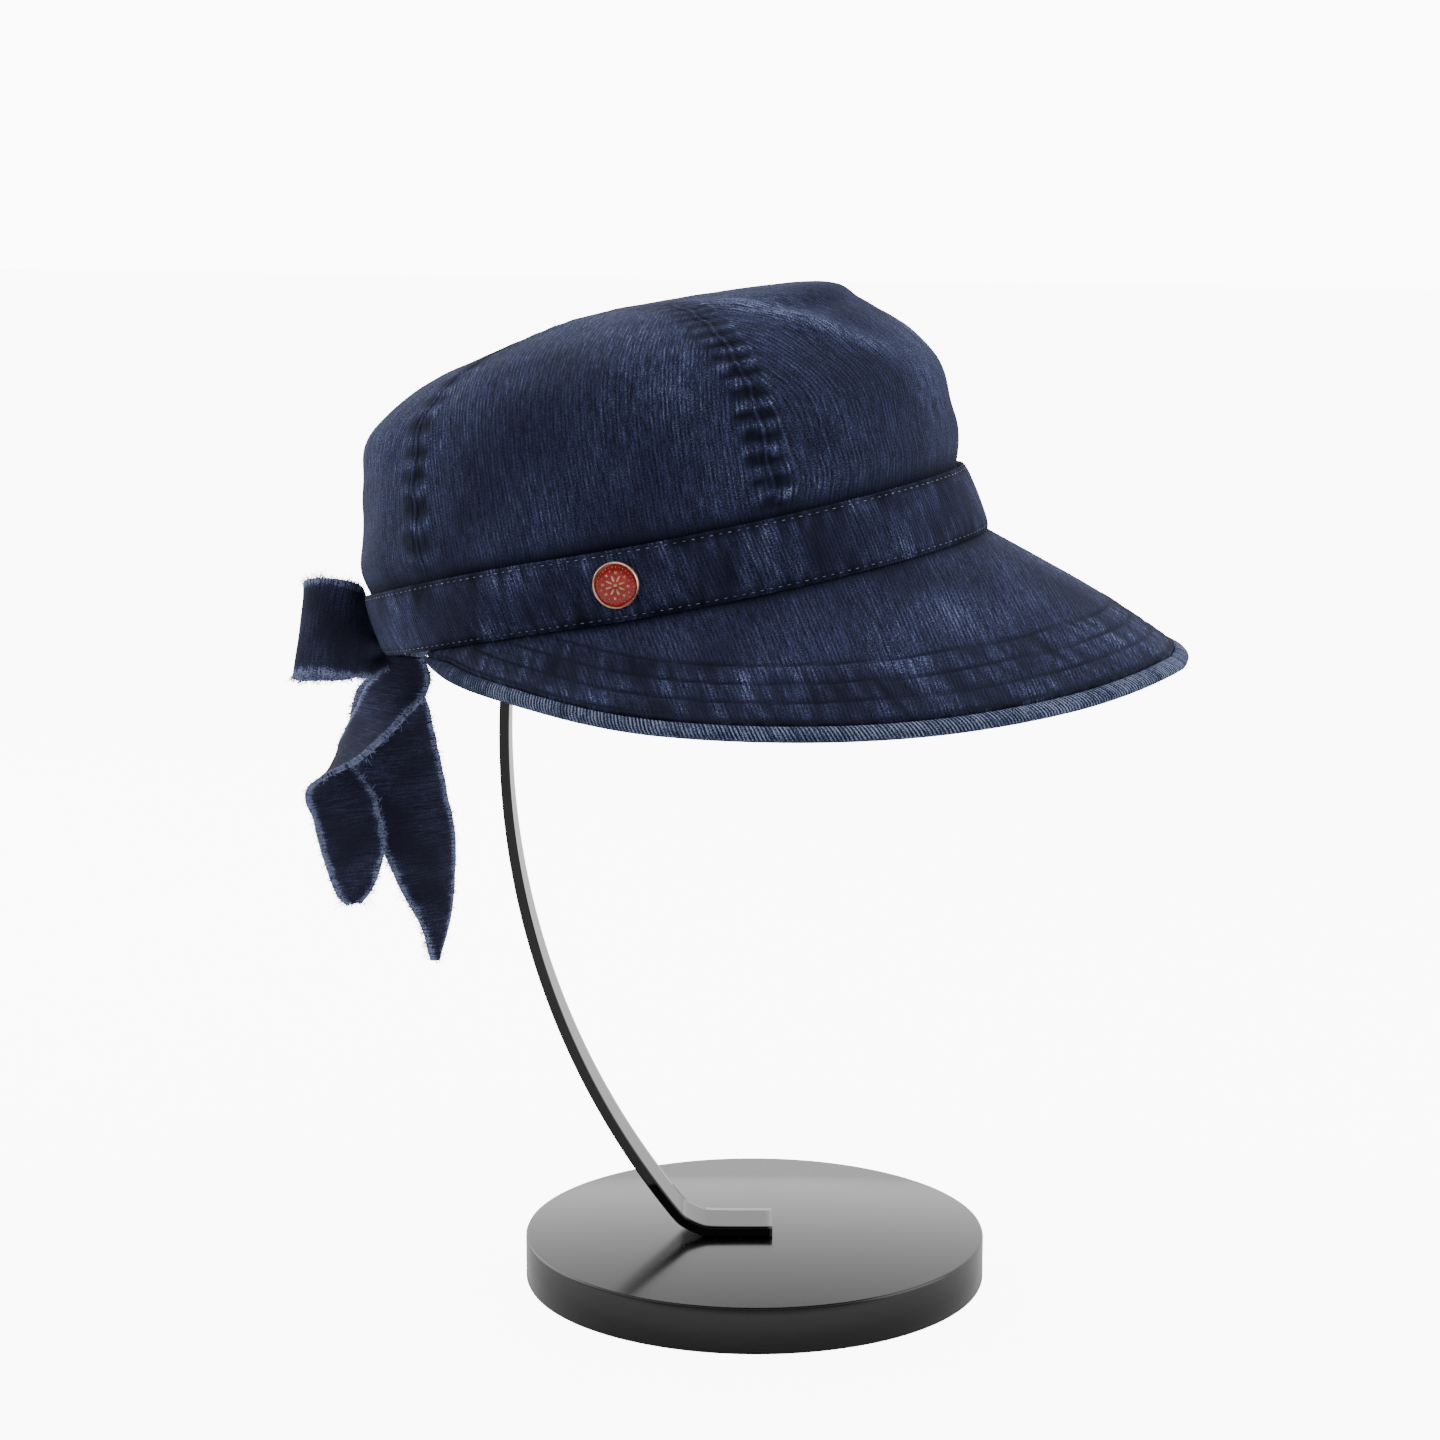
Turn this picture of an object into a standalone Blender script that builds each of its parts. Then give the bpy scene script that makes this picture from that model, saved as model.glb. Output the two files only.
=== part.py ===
"""Washed denim cap with a wide wrap-round peak and a bow at the back, on a display stand.

Metres, +Z up. The cap's front is +X and the wearer's left is +Y. The origin is on the
floor, under the middle of the stand's round base. The cap is made in its own frame,
with its origin in the middle of the band, and an empty sets it on the stand.
"""

import math

import bmesh
import bpy
from mathutils import Matrix, Vector
from mathutils.bvhtree import BVHTree

# Clearance between pieces that touch
GAP = 0.0003

# How the cap sits on the stand
CAP_SETBACK = 0.0250
CAP_HEIGHT = 0.2374
CAP_TILT = math.radians(10.5)
CAP_ROLL = math.radians(1.7)

# Band: lengths fore and aft, widths across, at its foot and at its top
BAND_FOOT_LENGTH = 0.1983
BAND_FOOT_WIDTH = 0.1666
BAND_TOP_LENGTH = 0.1968
BAND_TOP_WIDTH = 0.1685
BAND_HEIGHT = 0.0210
BAND_WALL = 0.0022
BAND_LEAN = 0.0037
BAND_BELLY = 0.0006

# Band: how far its foot and top rise at the front and dip at the back
BAND_FOOT_LIFT = 0.0018
BAND_TOP_LIFT = 0.0016
BAND_FOOT_DROP = 0.0060
BAND_TOP_DROP = 0.0081

# Crown: rise over the band's top, and how far its hem is tucked in behind the band
CROWN_RISE = 0.0674
CROWN_WALL = 0.0016
CROWN_TUCK = 0.0080
SEAM_TURNS = (50, 120, 180, -120, -50)
SEAM_DEPTH = 0.0011
SEAM_SPREAD = 4.0
SEAM_START = 8.0
SEAM_END = 86.0
SEAM_FADE = 12.0
DENT_START = 10.0

# Crown outline: climb in degrees from the band to the top, shares of the band's half sizes
CROWN_COLUMNS = ("climb", "front", "side", "back")
CROWN_TABLE = (
    (0, 1.000, 1.000, 1.000),
    (7, 1.022, 1.022, 1.022),
    (15, 1.022, 1.012, 1.004),
    (30, 1.002, 0.978, 0.952),
    (45, 0.885, 0.893, 0.903),
    (60, 0.800, 0.700, 0.630),
    (75, 0.640, 0.370, 0.140),
    (90, 0.000, 0.000, 0.000),
)

# Soft dents of the crown: place and spread in degrees, depth as a share of the rise
DENT_COLUMNS = ("turn", "climb", "turn_spread", "climb_spread", "depth")
DENT_TABLE = (
    (-20, 62, 26, 9, 0.034),
    (24, 58, 24, 10, 0.026),
    (-150, 16, 13, 8, 0.030),
    (152, 20, 15, 9, 0.026),
    (-86, 10, 22, 7, 0.014),
    (84, 14, 20, 8, 0.018),
    (-162, 52, 16, 11, 0.030),
    (-4, 14, 14, 8, 0.016),
)

# Peak: its width at the front and how far round the band it runs
PEAK_WIDTH = 0.0745
PEAK_SWEEP = 127
PEAK_WALL = 0.0022
PEAK_TUCK = 0.0012
PEAK_BULGE = 0.0012
LIP_WIDTH = 0.0055
LIP_THICKNESS = 0.0032
LIP_LARGEST_SHARE = 0.45
LIP_SINK = 0.42
LIP_ROUNDNESS = 0.8

# Peak outline: share of the sweep, share of the width, slope in degrees below the band
PEAK_COLUMNS = ("round", "width", "slope")
PEAK_TABLE = (
    (0.00, 1.000, 39.5),
    (0.20, 0.940, 41.5),
    (0.39, 0.870, 38.0),
    (0.59, 0.690, 32.5),
    (0.79, 0.362, 30.0),
    (1.00, 0.040, 32.0),
)

# Badge on the wearer's right, and where it sits on the band
BADGE_WIDTH = 0.0140
BADGE_THICKNESS = 0.0020
BADGE_RIM = 0.0008
BADGE_EDGE = 0.0004
BADGE_FLOOR = 0.0008
BADGE_LEVEL_STEP = 0.1
ENAMEL_DEPTH = 0.0005
BADGE_TURN = math.radians(-81.0)
BADGE_LEVEL = 0.52
ROSETTE_WIDTH = 0.0082
ROSETTE_HEIGHT = 0.0004
ROSETTE_PETALS = 8
ROSETTE_HOLLOW = 0.48

# Bow: ribbon, knot, loops and tails
RIBBON_WIDTH = 0.0310
RIBBON_WALL = 0.0014
KNOT_DEPTH = 0.0100
KNOT_WIDTH = 0.0150
KNOT_HEIGHT = 0.0190
KNOT_LEVEL = 0.10
KNOT_RIDGES = 4
KNOT_RIDGE = 0.05
KNOT_TWIST = 6.0
LOOP_LENGTH = 0.0335
LOOP_DEPTH = 0.0150
LOOP_SWEEP = math.radians(14)
LOOP_RISE = math.radians(19)
LOOP_PINCH = 0.54
LOOP_FLARE_END = 0.42
LOOP_RISE_END = 0.6
LOOP_CREASE = 0.0007
TAIL_CURL = 0.05

# Knot outline: height from its middle as a share of its height, and share of its width
KNOT_COLUMNS = ("height", "girth")
KNOT_TABLE = (
    (-0.50, 0.62),
    (-0.36, 0.90),
    (-0.12, 1.00),
    (0.12, 0.96),
    (0.36, 0.90),
    (0.50, 0.60),
)

# Loop plan: shares of the loop's length outwards and of its depth across
LOOP_COLUMNS = ("out", "across")
LOOP_TABLE = (
    (0.00, 0.12),
    (0.22, 0.27),
    (0.50, 0.45),
    (0.78, 0.50),
    (0.95, 0.30),
    (1.00, 0.00),
    (0.95, -0.30),
    (0.78, -0.48),
    (0.50, -0.40),
    (0.22, -0.24),
    (0.00, -0.12),
)

# Tails: drop as a share of the length, shifts as shares of the ribbon's width,
# the ribbon's width as a share, and the way that the ribbon's width points
TAIL_COLUMNS = ("drop", "back", "left", "width", "facing")
NEAR_TAIL_LENGTH = 0.0760
NEAR_TAIL_TABLE = (
    (0.00, -0.06, -0.10, 0.36, -8),
    (0.07, -0.15, -0.30, 0.66, -8),
    (0.19, 0.02, -0.40, 0.80, -12),
    (0.28, 0.16, -0.46, 0.88, -30),
    (0.37, 0.28, -0.48, 0.90, -66),
    (0.46, 0.37, -0.48, 0.88, -106),
    (0.58, 0.35, -0.45, 0.80, -124),
    (0.72, 0.32, -0.42, 0.74, -128),
    (0.87, 0.32, -0.40, 0.62, -128),
    (0.96, 0.34, -0.39, 0.42, -128),
    (1.00, 0.36, -0.38, 0.16, -128),
)
FAR_TAIL_LENGTH = 0.0985
FAR_TAIL_TABLE = (
    (0.00, 0.03, 0.10, 0.36, 52),
    (0.08, 0.19, 0.29, 0.78, 54),
    (0.22, 0.18, 0.38, 0.95, 55),
    (0.35, 0.10, 0.40, 0.96, 56),
    (0.46, 0.02, 0.40, 0.94, 56),
    (0.61, -0.10, 0.38, 0.90, 57),
    (0.74, -0.20, 0.35, 0.70, 58),
    (0.87, -0.30, 0.31, 0.38, 58),
    (1.00, -0.32, 0.28, 0.08, 58),
)

# Stand: a round base and a bent flat strip, turned from the cap's middle line
BASE_DIAMETER = 0.1490
BASE_THICKNESS = 0.0150
BASE_EDGE = 0.0008
STRIP_WIDTH = 0.0200
STRIP_THICKNESS = 0.0030
STRIP_TURN = math.radians(20)
STRIP_RADIUS = 0.2500
STRIP_REACH = 0.0794
STRIP_FOOT_START = 0.0057
STRIP_FOOT_BEND = 0.0060
STRIP_HEEL = 0.0208
STRIP_HEAD_DROP = 0.0450
STRIP_REST_CLIMB = math.radians(66)
STRIP_LEAVING_PULL = 0.35
STRIP_ARRIVING_PULL = 0.55
STRIP_HEAD_DIP = 0.08

# Fineness of the meshes
TURN_STEPS = 72
CROWN_ROWS = 13
BAND_LEVELS = (0, 0.35, 0.7, 1)
PEAK_STEPS = 52
PEAK_ROWS = 6
LIP_SIDES = 8
KNOT_SIDES = 16
LOOP_STEPS = 20
TAIL_STEPS = 16
RIBBON_STRIPS = 4
ARC_STEPS = 22
BEND_STEPS = 4
HEAD_STEPS = 8
HEADROOM_SHARES = (-0.5, -0.25, 0, 0.25, 0.5)
HEADROOM_PASSES = 4
ROUND_SIDES = 40
BASE_SIDES = 72
SHARP_ANGLE = math.radians(40)

MATERIALS = {
    "denim": ((0.020, 0.030, 0.085, 1), 0.85, 0.0),
    "denim_edge": ((0.050, 0.085, 0.190, 1), 0.85, 0.0),
    "pale_gold": ((0.780, 0.560, 0.360, 1), 0.35, 1.0),
    "red_enamel": ((0.520, 0.030, 0.025, 1), 0.30, 0.0),
    "black_gloss": ((0.012, 0.012, 0.014, 1), 0.12, 0.0),
}


def material(name):
    """The named finish, made once."""
    found = bpy.data.materials.get(name)
    if found:
        return found
    colour, roughness, metallic = MATERIALS[name]
    made = bpy.data.materials.new(name)
    made.use_nodes = True
    shader = made.node_tree.nodes["Principled BSDF"]
    shader.inputs["Base Color"].default_value = colour
    shader.inputs["Roughness"].default_value = roughness
    shader.inputs["Metallic"].default_value = metallic
    return made


def mix(low, high, share):
    return low + (high - low) * share


def ease(share):
    share = min(1.0, max(0.0, share))
    return share * share * (3 - 2 * share)


def hermite(start, start_pull, end, end_pull, share):
    """A smooth way from start to end, leaving and arriving along the two pulls."""
    square = share * share
    cube = square * share
    return (
        start * (2 * cube - 3 * square + 1)
        + start_pull * (cube - 2 * square + share)
        + end * (3 * square - 2 * cube)
        + end_pull * (cube - square)
    )


def read_table(columns, rows, at):
    """A table's other columns, by name, at a place along its first one, on smooth curves."""
    keys = [row[0] for row in rows]
    at = min(keys[-1], max(keys[0], at))
    low = max(i for i in range(len(rows) - 1) if keys[i] <= at)
    span = keys[low + 1] - keys[low]
    share = (at - keys[low]) / span
    found = {}
    for column in range(1, len(columns)):
        values = [row[column] for row in rows]
        slopes = []
        for i in (low, low + 1):
            before = max(0, i - 1)
            after = min(len(rows) - 1, i + 1)
            slopes.append((values[after] - values[before]) / (keys[after] - keys[before]))
        pulls = [slope * span for slope in slopes]
        found[columns[column]] = hermite(values[low], pulls[0], values[low + 1], pulls[1], share)
    return found


def wrapped(angle):
    """An angle in degrees brought into the half turn either side of the front."""
    return (angle + 180) % 360 - 180


def grid_mesh(rows, closed, top_point=None):
    """A skin over rows of points, joined round where closed, with an optional top point."""
    mesh = bmesh.new()
    lines = [[mesh.verts.new(point) for point in row] for row in rows]
    count = len(rows[0])
    steps = count if closed else count - 1
    for lower, upper in zip(lines, lines[1:]):
        for i in range(steps):
            j = (i + 1) % count
            mesh.faces.new((lower[i], lower[j], upper[j], upper[i]))
    if top_point is not None:
        top = mesh.verts.new(top_point)
        for i in range(steps):
            mesh.faces.new((lines[-1][i], lines[-1][(i + 1) % count], top))
    return mesh


def loft_mesh(rings):
    """A closed body through rings of points, with a flat face on each end."""
    mesh = bmesh.new()
    lines = [[mesh.verts.new(point) for point in ring] for ring in rings]
    count = len(rings[0])
    for lower, upper in zip(lines, lines[1:]):
        for i in range(count):
            j = (i + 1) % count
            mesh.faces.new((lower[i], lower[j], upper[j], upper[i]))
    mesh.faces.new(list(reversed(lines[0])))
    mesh.faces.new(lines[-1])
    return mesh


def make_piece(name, mesh, finish, parent=None, smooth=True):
    """An object from a finished bmesh, with its material and parent."""
    bmesh.ops.recalc_face_normals(mesh, faces=mesh.faces)
    data = bpy.data.meshes.new(name)
    mesh.to_mesh(data)
    mesh.free()
    if smooth:
        data.shade_smooth()
        data.set_sharp_from_angle(angle=SHARP_ANGLE)
    data.materials.append(material(finish))
    piece = bpy.data.objects.new(name, data)
    bpy.context.scene.collection.objects.link(piece)
    piece.parent = parent
    return piece


def thicken(piece, wall, offset):
    """Cloth or strip of one thickness: offset -1 keeps the skin outside, 0 keeps it midway."""
    solidify = piece.modifiers.new("wall", "SOLIDIFY")
    solidify.thickness = wall
    solidify.offset = offset
    solidify.use_even_offset = False
    return piece


def fore_and_aft(turn):
    """How much a turn round the cap faces the front, and how much the back."""
    return max(0.0, math.cos(turn)) ** 2, max(0.0, -math.cos(turn)) ** 2


def band_point(turn, level, inset=0.0):
    """A point of the band's outer face, level 0 at its foot and 1 at its top, moved in."""
    half_length = mix(BAND_FOOT_LENGTH, BAND_TOP_LENGTH, level) / 2
    half_width = mix(BAND_FOOT_WIDTH, BAND_TOP_WIDTH, level) / 2
    ahead, behind = fore_and_aft(turn)
    lift = mix(BAND_FOOT_LIFT, BAND_TOP_LIFT, level) * ahead
    lift -= mix(BAND_FOOT_DROP, BAND_TOP_DROP, level) * behind
    belly = BAND_BELLY * 4 * level * (1 - level)
    point = Vector((
        half_length * math.cos(turn) - BAND_LEAN * level,
        half_width * math.sin(turn),
        (level - 0.5) * BAND_HEIGHT + lift,
    ))
    return point + band_outward(turn, level) * (belly - inset)


def band_outward(turn, level):
    """The level direction that points straight out of the band."""
    half_length = mix(BAND_FOOT_LENGTH, BAND_TOP_LENGTH, level)
    half_width = mix(BAND_FOOT_WIDTH, BAND_TOP_WIDTH, level)
    return Vector((half_width * math.cos(turn), half_length * math.sin(turn), 0)).normalized()


def crown_point(turn, climb, inset=0.0):
    """A point of the crown's outer face over the band's top; inset moves it inside."""
    shares = read_table(CROWN_COLUMNS, CROWN_TABLE, math.degrees(climb))
    ahead, behind = fore_and_aft(turn)
    share = mix(shares["side"], shares["front"], ahead) + mix(0, shares["back"] - shares["side"], behind)
    edge = BAND_WALL + GAP
    half_length = BAND_TOP_LENGTH / 2 - edge
    half_width = BAND_TOP_WIDTH / 2 - edge
    dip = crown_dip(math.degrees(turn), math.degrees(climb))
    lift = (BAND_TOP_LIFT * ahead - BAND_TOP_DROP * behind) * math.cos(climb) ** 2
    reach = Vector((half_length * share * math.cos(turn), half_width * share * math.sin(turn), 0))
    rise = CROWN_RISE * math.sin(climb)
    outward = Vector((math.cos(turn) * math.cos(climb), math.sin(turn) * math.cos(climb), math.sin(climb)))
    base = Vector((-BAND_LEAN, 0, BAND_HEIGHT / 2 + lift + rise))
    return base + reach - outward * (dip + inset)


def crown_dip(turn, climb):
    """How far seams and dents sink the crown at a place given in degrees."""
    fade = ease(climb / SEAM_START) * ease((SEAM_END - climb) / SEAM_FADE)
    dip = 0.0
    for seam in SEAM_TURNS:
        away = wrapped(turn - seam) / SEAM_SPREAD
        dip += SEAM_DEPTH * fade * math.exp(-away * away)
    for row in DENT_TABLE:
        dent = dict(zip(DENT_COLUMNS, row))
        aside = wrapped(turn - dent["turn"]) / dent["turn_spread"]
        above = (climb - dent["climb"]) / dent["climb_spread"]
        hollow = dent["depth"] * CROWN_RISE * math.exp(-aside * aside - above * above)
        dip += hollow * ease(climb / DENT_START)
    return dip


def all_turns():
    return [2 * math.pi * i / TURN_STEPS for i in range(TURN_STEPS)]


def make_crown(cap):
    hem_level = 1 - CROWN_TUCK / BAND_HEIGHT
    rows = []
    for level in (hem_level, mix(hem_level, 1, 0.5)):
        rows.append([band_point(turn, level, BAND_WALL + GAP) for turn in all_turns()])
    for row in range(CROWN_ROWS):
        climb = math.pi / 2 * row / CROWN_ROWS
        rows.append([crown_point(turn, climb) for turn in all_turns()])
    mesh = grid_mesh(rows, closed=True, top_point=crown_point(0.0, math.pi / 2))
    return thicken(make_piece("crown", mesh, "denim", cap), CROWN_WALL, -1)


def make_band(cap):
    rows = [[band_point(turn, level) for turn in all_turns()] for level in BAND_LEVELS]
    mesh = grid_mesh(rows, closed=True)
    return thicken(make_piece("band", mesh, "denim", cap), BAND_WALL, -1)


def peak_frame(turn):
    """The peak's root, its direction down the slope, its upper side, its width and its lip."""
    share_round = abs(math.degrees(turn)) / PEAK_SWEEP
    shape = read_table(PEAK_COLUMNS, PEAK_TABLE, share_round)
    slope = math.radians(shape["slope"])
    outward = band_outward(turn, 0)
    root = band_point(turn, 0, PEAK_TUCK) - Vector((0, 0, GAP))
    along = outward * math.cos(slope) - Vector((0, 0, math.sin(slope)))
    upper = outward * math.sin(slope) + Vector((0, 0, math.cos(slope)))
    width = PEAK_WIDTH * shape["width"]
    lip = min(LIP_WIDTH, LIP_LARGEST_SHARE * width)
    return root, along, upper, width, lip


def peak_point(turn, share):
    """A point of the peak's upper face, share 0 at the band and 1 where the lip begins."""
    root, along, upper, width, lip = peak_frame(turn)
    run = width - lip - GAP
    bulge = PEAK_BULGE * 4 * share * (1 - share) * width / PEAK_WIDTH
    return root + along * run * share + upper * bulge


def peak_turns():
    limit = math.radians(PEAK_SWEEP)
    return [mix(-limit, limit, i / PEAK_STEPS) for i in range(PEAK_STEPS + 1)]


def make_peak(cap):
    rows = [
        [peak_point(turn, row / PEAK_ROWS) for turn in peak_turns()]
        for row in range(PEAK_ROWS + 1)
    ]
    mesh = grid_mesh(rows, closed=False)
    return thicken(make_piece("peak", mesh, "denim", cap), PEAK_WALL, -1)


def flattened(reach):
    """A sine or cosine brought towards a squarer section."""
    return math.copysign(abs(reach) ** LIP_ROUNDNESS, reach)


def make_peak_lip(cap):
    """The rolled edge: a flattened round section that runs along the peak's rim."""
    rings = []
    for turn in peak_turns():
        root, along, upper, width, lip = peak_frame(turn)
        depth = LIP_THICKNESS * lip / LIP_WIDTH
        middle = root + along * (width - lip / 2) - upper * depth * LIP_SINK
        ring = []
        for side in range(LIP_SIDES):
            angle = 2 * math.pi * (side + 0.5) / LIP_SIDES
            out = flattened(math.cos(angle)) * lip / 2
            up = flattened(math.sin(angle)) * depth / 2
            ring.append(middle + along * out + upper * up)
        rings.append(ring)
    return make_piece("peak_lip", loft_mesh(rings), "denim_edge", cap)


def badge_place():
    """The badge's own axes: its back lies against the band, its face looks outwards."""
    outward = band_outward(BADGE_TURN, BADGE_LEVEL)
    below = band_point(BADGE_TURN, BADGE_LEVEL - BADGE_LEVEL_STEP)
    above = band_point(BADGE_TURN, BADGE_LEVEL + BADGE_LEVEL_STEP)
    up = (above - below).normalized()
    aside = up.cross(outward).normalized()
    outward = aside.cross(up).normalized()
    middle = band_point(BADGE_TURN, BADGE_LEVEL) + outward * GAP
    place = Matrix((aside, up, outward)).transposed().to_4x4()
    place.translation = middle
    return place


def turned_rings(profile, sides):
    """Rings round the Z axis through a profile of (radius, height) pairs."""
    rings = []
    for radius, height in profile:
        ring = []
        for side in range(sides):
            angle = 2 * math.pi * side / sides
            ring.append(Vector((radius * math.cos(angle), radius * math.sin(angle), height)))
        rings.append(ring)
    return rings


def make_badge(cap):
    place = badge_place()
    radius = BADGE_WIDTH / 2
    inner = radius - BADGE_RIM
    crest = BADGE_THICKNESS
    profile = (
        (radius - BADGE_EDGE, 0),
        (radius, BADGE_EDGE),
        (radius, crest - BADGE_EDGE),
        (radius - BADGE_RIM / 2, crest),
        (inner, crest - BADGE_EDGE),
        (inner, BADGE_FLOOR),
    )
    rim = loft_mesh(turned_rings(profile, ROUND_SIDES))
    make_piece("badge_rim", rim, "pale_gold", cap).matrix_local = place
    face = crest - ENAMEL_DEPTH
    disc = (
        (inner - GAP, BADGE_FLOOR + GAP),
        (inner - GAP, face - GAP / 3),
        (inner - 2 * GAP, face),
    )
    enamel = loft_mesh(turned_rings(disc, ROUND_SIDES))
    make_piece("badge_enamel", enamel, "red_enamel", cap).matrix_local = place
    make_piece("badge_rosette", rosette(face + GAP / 3), "pale_gold", cap, False).matrix_local = place


def rosette(start):
    """A plain flower with pointed petals, standing proud of the enamel."""
    rings = []
    points = ROSETTE_PETALS * 2
    for height, scale in ((start, 1.0), (start + ROSETTE_HEIGHT, 0.9)):
        ring = []
        for i in range(points):
            angle = 2 * math.pi * i / points
            reach = ROSETTE_WIDTH / 2 * scale * (1.0 if i % 2 == 0 else ROSETTE_HOLLOW)
            ring.append(Vector((reach * math.cos(angle), reach * math.sin(angle), height)))
        rings.append(ring)
    return loft_mesh(rings)


def knot_middle():
    """The middle of the knot, close behind the band's lower back."""
    back = band_point(math.pi, KNOT_LEVEL)
    return back + Vector((-(GAP + BAND_BELLY + KNOT_DEPTH / 2), 0, 0))


def make_knot(cap):
    """A band of cloth wrapped once round: a barrel with soft ridges, drawn in at its ends."""
    middle = knot_middle()
    rings = []
    for row in KNOT_TABLE:
        section = dict(zip(KNOT_COLUMNS, row))
        ring = []
        for side in range(KNOT_SIDES):
            angle = 2 * math.pi * side / KNOT_SIDES
            crest = math.cos(KNOT_RIDGES * angle + KNOT_TWIST * section["height"])
            reach = section["girth"] * (1 - KNOT_RIDGE * (1 - crest)) / 2
            ring.append(middle + Vector((
                KNOT_DEPTH * reach * math.cos(angle),
                KNOT_WIDTH * reach * math.sin(angle),
                KNOT_HEIGHT * section["height"],
            )))
        rings.append(ring)
    return make_piece("bow_knot", loft_mesh(rings), "denim", cap)


def loop_rows(side):
    """Rows across the ribbon of one loop; side is 1 for the wearer's left, -1 for the right."""
    level = Vector((-math.sin(LOOP_SWEEP), side * math.cos(LOOP_SWEEP), 0))
    across = Vector((-math.cos(LOOP_SWEEP), -side * math.sin(LOOP_SWEEP), 0))
    clear = KNOT_WIDTH / 2 + GAP
    start = knot_middle() + Vector((0, side * clear, 0))
    columns = ("place",) + LOOP_COLUMNS
    numbered = [(i,) + row for i, row in enumerate(LOOP_TABLE)]
    rows = []
    for step in range(LOOP_STEPS + 1):
        place = step / LOOP_STEPS * (len(LOOP_TABLE) - 1)
        plan = read_table(columns, numbered, place)
        rise = LOOP_RISE * ease(plan["out"] / LOOP_RISE_END)
        run = LOOP_LENGTH * plan["out"]
        middle = start + level * run * math.cos(rise) + Vector((0, 0, run * math.sin(rise)))
        middle += across * LOOP_DEPTH * plan["across"]
        upright = Vector((0, 0, math.cos(rise))) - level * math.sin(rise)
        spread = mix(LOOP_PINCH, 1, ease(plan["out"] / LOOP_FLARE_END)) * RIBBON_WIDTH
        row = []
        for strip in range(RIBBON_STRIPS + 1):
            share = strip / RIBBON_STRIPS - 0.5
            crease = LOOP_CREASE * (1 - ease(plan["out"] / LOOP_RISE_END)) * (1 if strip % 2 else -1)
            row.append(middle + upright * spread * share + across * crease)
        rows.append(row)
    return rows


def make_loop(name, side, cap):
    mesh = grid_mesh(loop_rows(side), closed=False)
    return thicken(make_piece(name, mesh, "denim", cap), RIBBON_WALL, 0)


def tail_rows(table, length, root):
    """Rows across a tail that hangs straight down from its root."""
    rows = []
    for step in range(TAIL_STEPS + 1):
        drop = step / TAIL_STEPS
        shape = read_table(TAIL_COLUMNS, table, drop)
        facing = math.radians(shape["facing"])
        shift = Vector((-shape["back"], shape["left"], 0)) * RIBBON_WIDTH
        middle = root + shift - Vector((0, 0, drop * length))
        half = Vector((math.cos(facing), math.sin(facing), 0)) * RIBBON_WIDTH * shape["width"] / 2
        curl = Vector((-math.sin(facing), math.cos(facing), 0)) * RIBBON_WIDTH * TAIL_CURL
        row = []
        for strip in range(RIBBON_STRIPS + 1):
            share = 2 * strip / RIBBON_STRIPS - 1
            row.append(middle + half * share + curl * share * share)
        rows.append(row)
    return rows


def make_tails(place):
    """The tails hang under gravity, so they are made upright from under the placed knot."""
    under = knot_middle() - Vector((0, 0, KNOT_HEIGHT / 2))
    lean = KNOT_DEPTH / 2 * KNOT_TABLE[0][1] * math.sin(CAP_TILT)
    root = place @ under - Vector((0, 0, lean + RIBBON_WALL / 4 + GAP))
    for name, table, length in (
        ("bow_tail_near", NEAR_TAIL_TABLE, NEAR_TAIL_LENGTH),
        ("bow_tail_far", FAR_TAIL_TABLE, FAR_TAIL_LENGTH),
    ):
        mesh = grid_mesh(tail_rows(table, length, root), closed=False)
        thicken(make_piece(name, mesh, "denim"), RIBBON_WALL, 0)


def strip_heel_point(floor):
    """Where the strip leaves the floor: the arc's middle, and the angle of its start."""
    centre_along = STRIP_RADIUS - STRIP_REACH
    drop = math.sqrt(STRIP_RADIUS**2 - (centre_along + STRIP_HEEL) ** 2)
    start_angle = math.pi + math.asin(drop / STRIP_RADIUS) - STRIP_FOOT_BEND / STRIP_RADIUS
    return Vector((centre_along, floor + drop)), start_angle


def arc_point(centre, angle):
    return centre + Vector((math.cos(angle), math.sin(angle))) * STRIP_RADIUS


def arc_heading(angle):
    """The way that the strip climbs at an angle of its arc."""
    return Vector((math.sin(angle), -math.cos(angle)))


def strip_path(end):
    """Middle line of the strip as (along, height): its foot, its long arc and its upper bend."""
    floor = BASE_THICKNESS + GAP + STRIP_THICKNESS / 2
    centre, start_angle = strip_heel_point(floor)
    top_angle = math.pi - math.asin((end.y - STRIP_HEAD_DROP - centre.y) / STRIP_RADIUS)
    path = [Vector((STRIP_FOOT_START, floor))]
    bend = Vector((STRIP_FOOT_BEND - STRIP_HEEL, floor))
    for step in range(BEND_STEPS):
        share = step / BEND_STEPS
        ahead = Vector((-1, 0)) * STRIP_FOOT_BEND
        climb = arc_heading(start_angle) * STRIP_FOOT_BEND
        path.append(hermite(bend, ahead, arc_point(centre, start_angle), climb, share))
    for step in range(ARC_STEPS):
        path.append(arc_point(centre, mix(start_angle, top_angle, step / ARC_STEPS)))
    last = arc_point(centre, top_angle)
    pull = (end - last).length
    leaving = arc_heading(top_angle) * pull * STRIP_LEAVING_PULL
    arriving = Vector((1, -STRIP_HEAD_DIP)) * pull * STRIP_ARRIVING_PULL
    for step in range(HEAD_STEPS + 1):
        path.append(hermite(last, leaving, end, arriving, step / HEAD_STEPS))
    return path


def strip_spot(spot, share):
    """A point of the strip's middle layer in the object's own axes."""
    forward = Vector((math.cos(STRIP_TURN), math.sin(STRIP_TURN), 0))
    sideways = Vector((-math.sin(STRIP_TURN), math.cos(STRIP_TURN), 0))
    return forward * spot.x + sideways * STRIP_WIDTH * share + Vector((0, 0, spot.y))


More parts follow.
